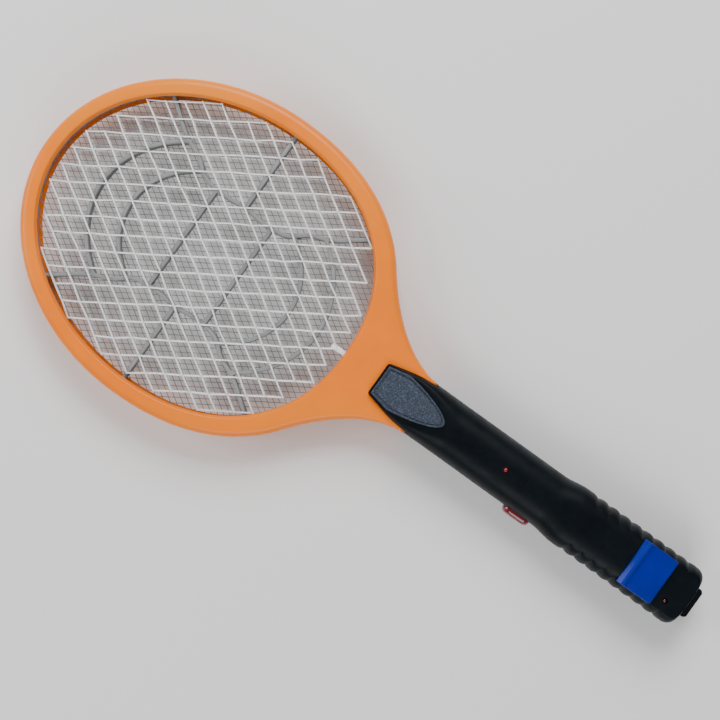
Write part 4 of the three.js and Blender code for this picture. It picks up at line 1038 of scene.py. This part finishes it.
def button_hole(bm, grow, low, high):
    """The button's outline, grown, as a solid from one y to another."""
    middle = (BUTTON_LOW.x + BUTTON_HIGH.x) / 2

    def place(share, y):
        x, z = capsule(share, BUTTON_STRAIGHT, BUTTON_RADIUS + grow)
        return Vector((middle + x, y, MID_Z + z))

    loft(bm, 48, (low, high), place)


def plain_solid(low, high):
    bm = bmesh.new()
    block(bm, low, high)
    return bm


def handle_body(side):
    """The front or rear shell, hollow, with its openings."""
    handle = bpy.context.scene.swatter_handle
    outer = bmesh.new()
    loft(outer, 112, handle_stations(), lambda share, x: handle_point(share, x, front_edge(x)))
    inset = handle.wall + handle.ridge_depth / 2
    hollow = bmesh.new()
    neck_end = NOSE_X + NOSE_OVERLAP
    far = TAIL_X - END_WALL
    inside = [neck_end + (far - neck_end) * i / 40 for i in range(41)]
    loft(hollow, 64, inside, lambda share, x: handle_point(share, x, inset, NOSE_WALL, False, False))
    under_track = (track_start() - 2.2 * MM, -BEYOND, MID_Z + handle.track - handle.wall)
    cavity = carved(hollow, ("DIFFERENCE", plain_solid(under_track, (TAIL_X, BEYOND, MID_Z + BEYOND))))
    head_half = FRONT_HIGH.z - MID_Z + 0.3 * MM
    neck_room = plain_solid(
        (NOSE_X - 0.02, -BEYOND, MID_Z - head_half), (neck_end + 0.3 * MM, BEYOND, MID_Z + head_half)
    )
    tang_room = plain_solid(
        (neck_end - 5 * MM, -11.3 * MM, MID_Z - 8.3 * MM),
        (neck_end + 24.3 * MM, 11.3 * MM, MID_Z + 8.3 * MM),
    )
    steps = [("DIFFERENCE", room) for room in (cavity, neck_room, tang_room, cap_room())]
    hole = bmesh.new()
    button_hole(hole, 0.4 * MM, -0.04, -13.2 * MM)
    steps.append(("DIFFERENCE", hole))
    pocket = bmesh.new()
    button_hole(pocket, 1.8 * MM, -14.7 * MM, -11.5 * MM)
    steps.append(("DIFFERENCE", pocket))
    if side > 0:
        steps += front_openings()
    else:
        wells = screw_wells("handle_screw", 5)
        steps.append(("DIFFERENCE", wells))
    keep = (MID_Z + SEAM, MID_Z + BEYOND) if side > 0 else (MID_Z - BEYOND, MID_Z - SEAM)
    steps.append(("INTERSECT", plain_solid((-0.05, -0.06, keep[0]), (0.3, 0.06, keep[1]))))
    return carved(outer, *steps)


def cap_room():
    half_y = CAP_HALF_WIDTH + FIT
    half_z = CAP_HALF_HEIGHT + FIT
    return plain_solid((TAIL_X - 5 * MM, -half_y, MID_Z - half_z), (TAIL_X + 0.02, half_y, MID_Z + half_z))


def arc(bm, centre_x, radius, sweep, width, low, high):
    """A bar that curves round a point on the handle's centre line, on its tail side."""
    path = []
    for i in range(25):
        angle = straight(-sweep, sweep, i / 24)
        path.append(Vector((centre_x + radius * math.cos(angle), radius * math.sin(angle))))
    bar(bm, path, width, low, high)


def front_openings():
    """Cuts that only the front shell has: the lights, the slider's slot and the inlay's recess."""
    handle = bpy.context.scene.swatter_handle
    plug = bpy.context.scene.swatter_plug
    lights = bmesh.new()
    drum(lights, (NOSE_X + handle.led_x, 0), 1.8 * MM, MID_Z + 5 * MM, MID_Z + 0.03)
    at = (SLIDER_HIGH.x + plug.charge_light_gap, plug.charge_light_y)
    drum(lights, at, 1.8 * MM, MID_Z + 5 * MM, MID_Z + 0.03)
    start = SLIDER_LOW.x + plug.stem_setback - FIT
    end = start + plug.stem_length + plug.travel + 2 * FIT
    half = plug.stem_half + FIT
    slot = plain_solid((start, -half, MID_Z), (end, half, MID_Z + 0.03))
    recess = bmesh.new()
    shield_loft(recess, ((FIT, -1.5 * MM), (FIT, 12 * MM)))
    cuts = [("DIFFERENCE", lights), ("DIFFERENCE", slot), ("DIFFERENCE", recess)]
    crescent = bmesh.new()
    top = HANDLE_HIGH.z
    arc(crescent, NOSE_X + CRESCENT_X, 5.3 * MM, 1.2, 0.9 * MM, top - 2 * MM, top + 0.2 * MM)
    seam = bmesh.new()
    arc(seam, NOSE_X + GRIP_LINE_X, 30 * MM, 0.4, 0.3 * MM, top - 0.3 * MM, top + MM)
    cuts += [("UNION", crescent), ("DIFFERENCE", seam)]
    return cuts


def on_slope(u, v, height):
    """A point on the nose's sloping top: u from its front edge, v across, height off the slope."""
    handle = bpy.context.scene.swatter_handle
    rise = HALF_HANDLE_DEPTH - handle.nose_step
    tilt = math.atan2(rise, handle.nose_slope)
    x = NOSE_X + u * math.cos(tilt) - height * math.sin(tilt)
    z = MID_Z + handle.nose_step + u * math.sin(tilt) + height * math.cos(tilt)
    return Vector((x, v, z))


def shield_outline():
    """The inlay's outline on the slope, from the middle of its front edge round to it again."""
    set_back, long = 1.4 * MM, 46 * MM
    shoulder, wide, front = 13.3 * MM, 12.3 * MM, 9.6 * MM
    half = []
    for i in range(6):
        half.append((0.0, front * i / 6))
    for i in range(14):
        half.append((shoulder * i / 14, straight(front, wide, i / 14)))
    curve = [Vector((shoulder, wide)), Vector((shoulder + 12 * MM, wide - 1.5 * MM))]
    curve += [Vector((long, 5.5 * MM)), Vector((long, 0.0))]
    for i in range(22):
        t = i / 22
        s = 1 - t
        p = s**3 * curve[0] + 3 * s * s * t * curve[1] + 3 * s * t * t * curve[2] + t**3 * curve[3]
        half.append((p.x, p.y))
    points = [Vector((u + set_back, v)) for u, v in half]
    points.append(Vector((long + set_back, 0.0)))
    points += [Vector((p.x, -p.y)) for p in reversed(points[1:-1])]
    return points


def shield_loft(bm, stations):
    """A solid on the nose's slope with the shield's outline; stations are (growth, height)."""
    points = shield_outline()
    count = len(points)
    half_long, half_wide = 23 * MM, 12.3 * MM
    middle = Vector((points[0].x + half_long, 0.0))

    def place(share, station):
        grow, height = station
        reach = points[round(share * count) % count] - middle
        u = middle.x + reach.x * (1 + grow / half_long)
        return on_slope(u, reach.y * (1 + grow / half_wide), height)

    loft(bm, count, stations, place)


class BuildHandle(bpy.types.Operator):
    """Build the two black shells of the handle"""

    bl_idname = "swatter.build_handle"
    bl_label = "Handle Shells"

    def execute(self, context):
        for end, side in (("front", 1), ("rear", -1)):
            name, node = f"shell_{end}", f"handle_{end}_shell"
            piece(name, handle_body(side), ["handle_black"], "swatter", [node], 32.0)
        return {"FINISHED"}


class BuildInlay(bpy.types.Operator):
    """Build the pebbled grey shield on the nose"""

    bl_idname = "swatter.build_inlay"
    bl_label = "Nose Inlay"

    def execute(self, context):
        bm = bmesh.new()
        stations = [(-0.25 * MM, -1.2 * MM), (0, -0.95 * MM), (0, 0.45 * MM), (-0.12 * MM, 0.6 * MM)]
        stations += [(-0.35 * MM, 0.7 * MM), (-1.1 * MM, 0.7 * MM), (-1.3 * MM, 0.6 * MM)]
        stations += [(-1.45 * MM, -0.1 * MM), (-2.2 * MM, -0.15 * MM), (-2.45 * MM, 0.35 * MM)]
        stations += [(-2.8 * MM, 0.46 * MM), (-4.5 * MM, 0.52 * MM)]
        shield_loft(bm, stations)
        piece("nose_inlay", bm, ["inlay_grey"], "swatter", ["throat_inlay"], 40.0)
        return {"FINISHED"}


# ------------------------------------------------------------------ button, lights and screws


class BuildButton(bpy.types.Operator):
    """Build the glossy red push button"""

    bl_idname = "swatter.build_button"
    bl_label = "Push Button"

    def execute(self, context):
        middle = (BUTTON_LOW.x + BUTTON_HIGH.x) / 2
        out, back = BUTTON_LOW.y, BUTTON_HIGH.y
        dome = 3.3 * MM
        stations = [(1.5 * MM, back), (1.5 * MM, back - 1.2 * MM), (0.0, back - 1.2 * MM), (0.0, out + dome)]
        for i in range(1, 9):
            angle = math.pi / 2 * i / 9
            stations.append((-dome * (1 - math.cos(angle)), out + dome * (1 - math.sin(angle))))
        stations.append((-dome - 0.6 * MM, out + 0.02 * MM))

        def place(share, station):
            grow, y = station
            x, z = capsule(share, BUTTON_STRAIGHT, BUTTON_RADIUS + grow)
            return Vector((middle + x, y, MID_Z + z))

        bm = bmesh.new()
        loft(bm, 64, stations, place)
        piece("push_button", bm, ["button_red"], "button", ["power_button"], 50.0)
        return {"FINISHED"}


class BuildLights(bpy.types.Operator):
    """Build the indicator light and the charge light"""

    bl_idname = "swatter.build_lights"
    bl_label = "Lights"

    def execute(self, context):
        for name, node in (("light_ready", "indicator_led"), ("light_charge", "charge_led")):
            low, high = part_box(node)
            centre = ((low.x + high.x) / 2, (low.y + high.y) / 2)
            radius, top = 1.5 * MM, high.z
            rim = high.z - 4.3 * MM if node == "indicator_led" else high.z - 2.4 * MM
            profile = [(0.0, rim - MM), (radius + 0.4 * MM, rim - MM), (radius + 0.4 * MM, rim)]
            profile += [(radius, rim), (radius, top - radius)]
            for i in range(1, 8):
                angle = math.pi / 2 * i / 8
                profile.append((radius * math.cos(angle), top - radius * (1 - math.sin(angle))))
            profile.append((0.0, top))
            bm = bmesh.new()
            lathe(bm, profile, centre)
            for side in (-1, 1):
                drum(bm, (centre[0], centre[1] + side * 0.65 * MM), 0.25 * MM, low.z, rim - 0.5 * MM, 8)
            lit = node == "indicator_led"
            finishes = ["lens_red", "lens_painted_highlight"] if lit else ["lens_dim"]
            # The pale core picked out at the top of the indicator's dome is a painted highlight.
            for face in bm.faces:
                middle = face.calc_center_median()
                near = (middle.xy - Vector(centre)).length < 0.5 * MM
                face.material_index = int(lit and near and middle.z > top - radius)
            piece(name, bm, finishes, "swatter", [node], 60.0)
        return {"FINISHED"}


def screw_head(bm, low, high):
    """A pan-head screw seen from the back; its crossed recess is cut afterwards."""
    centre = ((low.x + high.x) / 2, (low.y + high.y) / 2)
    seat = low.z + 1.4 * MM
    head, shank = 2.2 * MM, 1.1 * MM
    profile = [(0.0, low.z)]
    for i in range(1, 6):
        angle = math.pi / 2 * i / 5
        profile.append((head * (0.45 + 0.55 * math.sin(angle)), low.z + 0.85 * MM * (1 - math.cos(angle))))
    profile += [(head, seat), (shank, seat)]
    for i in range(1, 9):
        height = straight(seat + 0.5 * MM, high.z - 1.2 * MM, i / 9)
        profile.append((shank * (1.0 if i % 2 else 0.82), height))
    profile.append((0.0, high.z))
    lathe(bm, profile, centre, 28)
    return centre


class BuildScrews(bpy.types.Operator):
    """Build the crossed-recess screws in the back"""

    bl_idname = "swatter.build_screws"
    bl_label = "Screws"

    def execute(self, context):
        nodes = [f"head_screw_{i}" for i in range(1, 7)] + [f"handle_screw_{i}" for i in range(1, 6)]
        screws = bmesh.new()
        for number, node in enumerate(nodes):
            low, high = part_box(node)
            screw = bmesh.new()
            centre = screw_head(screw, low, high)
            cuts = []
            for turn in (0, math.pi / 2):
                arm = bmesh.new()
                block(arm, (-1.25 * MM, -0.28 * MM, -2 * MM), (1.25 * MM, 0.28 * MM, 0.9 * MM))
                place = Matrix.Translation((*centre, low.z)) @ Matrix.Rotation(turn + 0.6 * number, 4, "Z")
                bmesh.ops.transform(arm, matrix=place, verts=arm.verts)
                cuts.append(("DIFFERENCE", arm))
            cut = carved(screw, *cuts)
            mesh = bpy.data.meshes.new("screw")
            cut.to_mesh(mesh)
            cut.free()
            screws.from_mesh(mesh)
            bpy.data.meshes.remove(mesh)
        piece("screws", screws, ["fastener_steel"], "swatter", nodes, 35.0)
        return {"FINISHED"}


# ------------------------------------------------------------------ charging plug


class BuildSlider(bpy.types.Operator):
    """Build the blue slider that pushes the charging plug out"""

    bl_idname = "swatter.build_slider"
    bl_label = "Charging Slider"

    def execute(self, context):
        plug = context.scene.swatter_plug
        low, high = SLIDER_LOW, SLIDER_HIGH
        base = high.z - plug.ridge
        long = high.x - low.x - SLIDER_TRIM
        half = high.y
        side = [(0, 0), (long, 0), (long, 1.2 * MM), (long - 1.2 * MM, 2.1 * MM)]
        side += [(8.4 * MM, plug.body - 0.1 * MM), (6.3 * MM, plug.body)]
        side += [(5.3 * MM, plug.body + 0.5 * MM), (4.7 * MM, plug.ridge - 0.25 * MM)]
        side += [(4.1 * MM, plug.ridge), (3.3 * MM, plug.ridge), (2.6 * MM, plug.ridge - 0.3 * MM)]
        side += [(0.5 * MM, plug.body - 0.4 * MM), (0, plug.body - 0.9 * MM)]
        bm = bmesh.new()
        verts = [bm.verts.new((low.x + x, -half, base + z)) for x, z in side]
        face = bm.faces.new(verts)
        grown = bmesh.ops.extrude_face_region(bm, geom=[face])["geom"]
        moved = [g for g in grown if isinstance(g, bmesh.types.BMVert)]
        bmesh.ops.translate(bm, vec=(0, 2 * half, 0), verts=moved)
        bmesh.ops.recalc_face_normals(bm, faces=bm.faces)
        plan = bmesh.new()
        block(plan, (low.x - 0.01, -half, base - MM), (high.x, half, high.z + MM))
        corners = [
            e
            for e in plan.edges
            if abs(e.verts[0].co.z - e.verts[1].co.z) > MM and min(v.co.x for v in e.verts) > high.x - MM
        ]
        rounded(plan, corners, plug.corner, 10)
        bm = carved(bm, ("INTERSECT", plan))
        bmesh.ops.remove_doubles(bm, verts=bm.verts, dist=0.02 * MM)
        sharp = [e for e in bm.edges if e.is_manifold and e.calc_face_angle(0) > math.radians(50)]
        rounded(bm, sharp, 0.4 * MM, 4, clamp_overlap=True)
        start = low.x + plug.stem_setback
        stem = (start, -plug.stem_half, low.z)
        block(bm, stem, (start + plug.stem_length, plug.stem_half, base + 0.6 * MM), 0.2 * MM, 2)
        piece("charging_tab", bm, ["slider_blue"], "plug", ["charging_slider"], 40.0)
        return {"FINISHED"}


class BuildCollar(bpy.types.Operator):
    """Build the black collar at the tail with its two blade slots"""

    bl_idname = "swatter.build_collar"
    bl_label = "Tail Collar"

    def execute(self, context):
        plug = context.scene.swatter_plug
        half_y, half_z = CAP_HALF_WIDTH, CAP_HALF_HEIGHT
        flange_end = TAIL_X - 3.8 * MM
        bm = bmesh.new()
        block(bm, (flange_end - MM, -half_y, MID_Z - half_z), (CAP_HIGH.x, half_y, MID_Z + half_z))
        corners = [
            e
            for e in bm.edges
            if min(v.co.x for v in e.verts) > CAP_HIGH.x - MM and abs(e.verts[0].co.z - e.verts[1].co.z) > MM
        ]
        rounded(bm, corners, plug.chamfer, 1)
        rims = [e for e in bm.edges if min(v.co.x for v in e.verts) > flange_end]
        rounded(bm, rims, 0.35 * MM, 3)
        flange = bmesh.new()
        block(flange, CAP_LOW, (flange_end, CAP_HIGH.y, CAP_HIGH.z))
        steps = [("UNION", flange)]
        for node in ("plug_blade_left", "plug_blade_right"):
            low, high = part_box(node)
            grow = Vector((0, FIT, FIT))
            slot = bmesh.new()
            block(slot, low - grow, Vector((CAP_HIGH.x + MM, high.y, high.z)) + grow)
            steps.append(("DIFFERENCE", slot))
        bm = carved(bm, *steps)
        piece("tail_collar", bm, ["handle_black"], "swatter", ["tail_cap"], 35.0)
        return {"FINISHED"}


class BuildBlades(bpy.types.Operator):
    """Build the two flat blades of the charging plug"""

    bl_idname = "swatter.build_blades"
    bl_label = "Plug Blades"

    def execute(self, context):
        for name, node in (("blade_left", "plug_blade_left"), ("blade_right", "plug_blade_right")):
            low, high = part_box(node)
            bm = bmesh.new()
            block(bm, low, high)
            tips = [
                e
                for e in bm.edges
                if min(v.co.x for v in e.verts) > high.x - MM
                and abs(e.verts[0].co.y - e.verts[1].co.y) > 0.5 * MM
            ]
            rounded(bm, tips, 1.1 * MM, 5)
            rounded(bm, list(bm.edges), 0.16 * MM, 2)
            piece(name, bm, ["blade_brass"], "plug", [node], 40.0)
        return {"FINISHED"}


# ------------------------------------------------------------------ what stays from the CAD

KEPT_FINISHES = {
    "nylon_dark": ("plug_carriage", "switch_plunger"),
    "component_black": ("tact_switch", "transistor", "hv_diode_1", "hv_diode_2", "hv_diode_3", "hv_diode_4"),
    "board_green": ("circuit_board", "charger_board"),
    "ferrite": ("transformer_core",),
    "coil_tape": ("transformer_coil",),
    "film_capacitor": ("hv_capacitor_1", "hv_capacitor_2", "dropper_capacitor"),
    "component_tan": ("bleed_resistor",),
    "cell_sleeve": ("battery_cell_1", "battery_cell_2"),
    "fastener_steel": ("battery_link",),
    "blade_brass": ("charge_contact_1", "charge_contact_2"),
    "lead_red": ("hv_lead_front", "hv_lead_rear", "battery_lead_red"),
    "lead_black": ("battery_lead_black", "charge_led_lead"),
    "lead_white": ("hv_lead_middle",),
}


class FinishInside(bpy.types.Operator):
    """Give the boards, cells, leads and other inner parts their materials"""

    bl_idname = "swatter.finish_inside"
    bl_label = "Inner Parts"

    def execute(self, context):
        for name, nodes in KEPT_FINISHES.items():
            for node in nodes:
                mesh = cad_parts[node].data
                if not mesh.materials:
                    mesh.materials.append(None)
                for i in range(len(mesh.materials)):
                    mesh.materials[i] = finish(name)
        return {"FINISHED"}


# ------------------------------------------------------------------ stage


class BuildStage(bpy.types.Operator):
    """Set up the camera, the pale floor and the soft studio light"""

    bl_idname = "swatter.build_stage"
    bl_label = "Stage"

    def execute(self, context):
        stage = context.scene.swatter_stage
        camera = bpy.data.cameras.new("view")
        camera.sensor_width = 36.0
        camera.lens = camera.sensor_width * stage.distance / stage.width
        camera.clip_start, camera.clip_end = 0.01, 20.0
        holder = bpy.data.objects.new("view", camera)
        holder.location = (stage.centre_x, stage.centre_y, MID_Z + stage.distance)
        holder.rotation_euler = (0, 0, stage.roll)
        context.scene.collection.objects.link(holder)
        context.scene.camera = holder

        floor = bmesh.new()
        bmesh.ops.create_grid(floor, x_segments=8, y_segments=8, size=4.0)
        mesh = bpy.data.meshes.new("floor")
        floor.to_mesh(mesh)
        floor.free()
        ground = bpy.data.objects.new("floor", mesh)
        ground.location.z = -0.0005
        context.scene.collection.objects.link(ground)
        paper = Finish("floor_paper", context.scene.swatter_colours.floor, 0.9)
        paper.mottle(paper.noise(3.0), 0.4, 0.8, tinted(paper.base, 0.985))
        mesh.materials.append(paper.material)

        world = bpy.data.worlds.new("studio")
        world.use_nodes = True
        world.node_tree.nodes["Background"].inputs["Color"].default_value = (1.0, 1.0, 1.0, 1.0)
        world.node_tree.nodes["Background"].inputs["Strength"].default_value = 0.22
        context.scene.world = world
        for name, place, size, power_w in (
            ("key", (-0.5, 1.05, 1.15), 0.9, 27.0),
            ("fill", (0.65, -1.05, 0.95), 1.0, 13.0),
            ("rim", (-1.15, -0.5, 0.8), 0.8, 9.0),
        ):
            light = bpy.data.lights.new(name, "AREA")
            light.energy, light.size = power_w, size
            lamp = bpy.data.objects.new(name, light)
            lamp.location = place
            lamp.rotation_euler = (Vector((0, 0, 0)) - Vector(place)).to_track_quat("-Z", "Y").to_euler()
            context.scene.collection.objects.link(lamp)
        return {"FINISHED"}


class SwatterPanel(bpy.types.Panel):
    bl_label = "Fly Swatter"
    bl_idname = "VIEW3D_PT_swatter"
    bl_space_type = "VIEW_3D"
    bl_region_type = "UI"
    bl_category = "Fly Swatter"

    def draw(self, context):
        for name in GROUPS:
            box = self.layout.box()
            settings = getattr(context.scene, name)
            for key in settings.__annotations__:
                box.prop(settings, key)
        for step in STEPS:
            self.layout.operator(step.bl_idname)


STEPS = (
    BuildStage,
    BuildFrame,
    BuildGrids,
    BuildSpacers,
    BuildHandle,
    BuildInlay,
    BuildButton,
    BuildLights,
    BuildScrews,
    BuildSlider,
    BuildCollar,
    BuildBlades,
    FinishInside,
)


def register():
    for each in (*GROUPS.values(), *STEPS, SwatterPanel):
        bpy.utils.register_class(each)
    for name, group in GROUPS.items():
        setattr(bpy.types.Scene, name, PointerProperty(type=group))


def unregister():
    for name in GROUPS:
        delattr(bpy.types.Scene, name)
    for each in reversed((*GROUPS.values(), *STEPS, SwatterPanel)):
        bpy.utils.unregister_class(each)


def main():
    register()
    for step in STEPS:
        area, action = step.bl_idname.split(".")
        getattr(getattr(bpy.ops, area), action)()


if __name__ == "__main__":
    main()
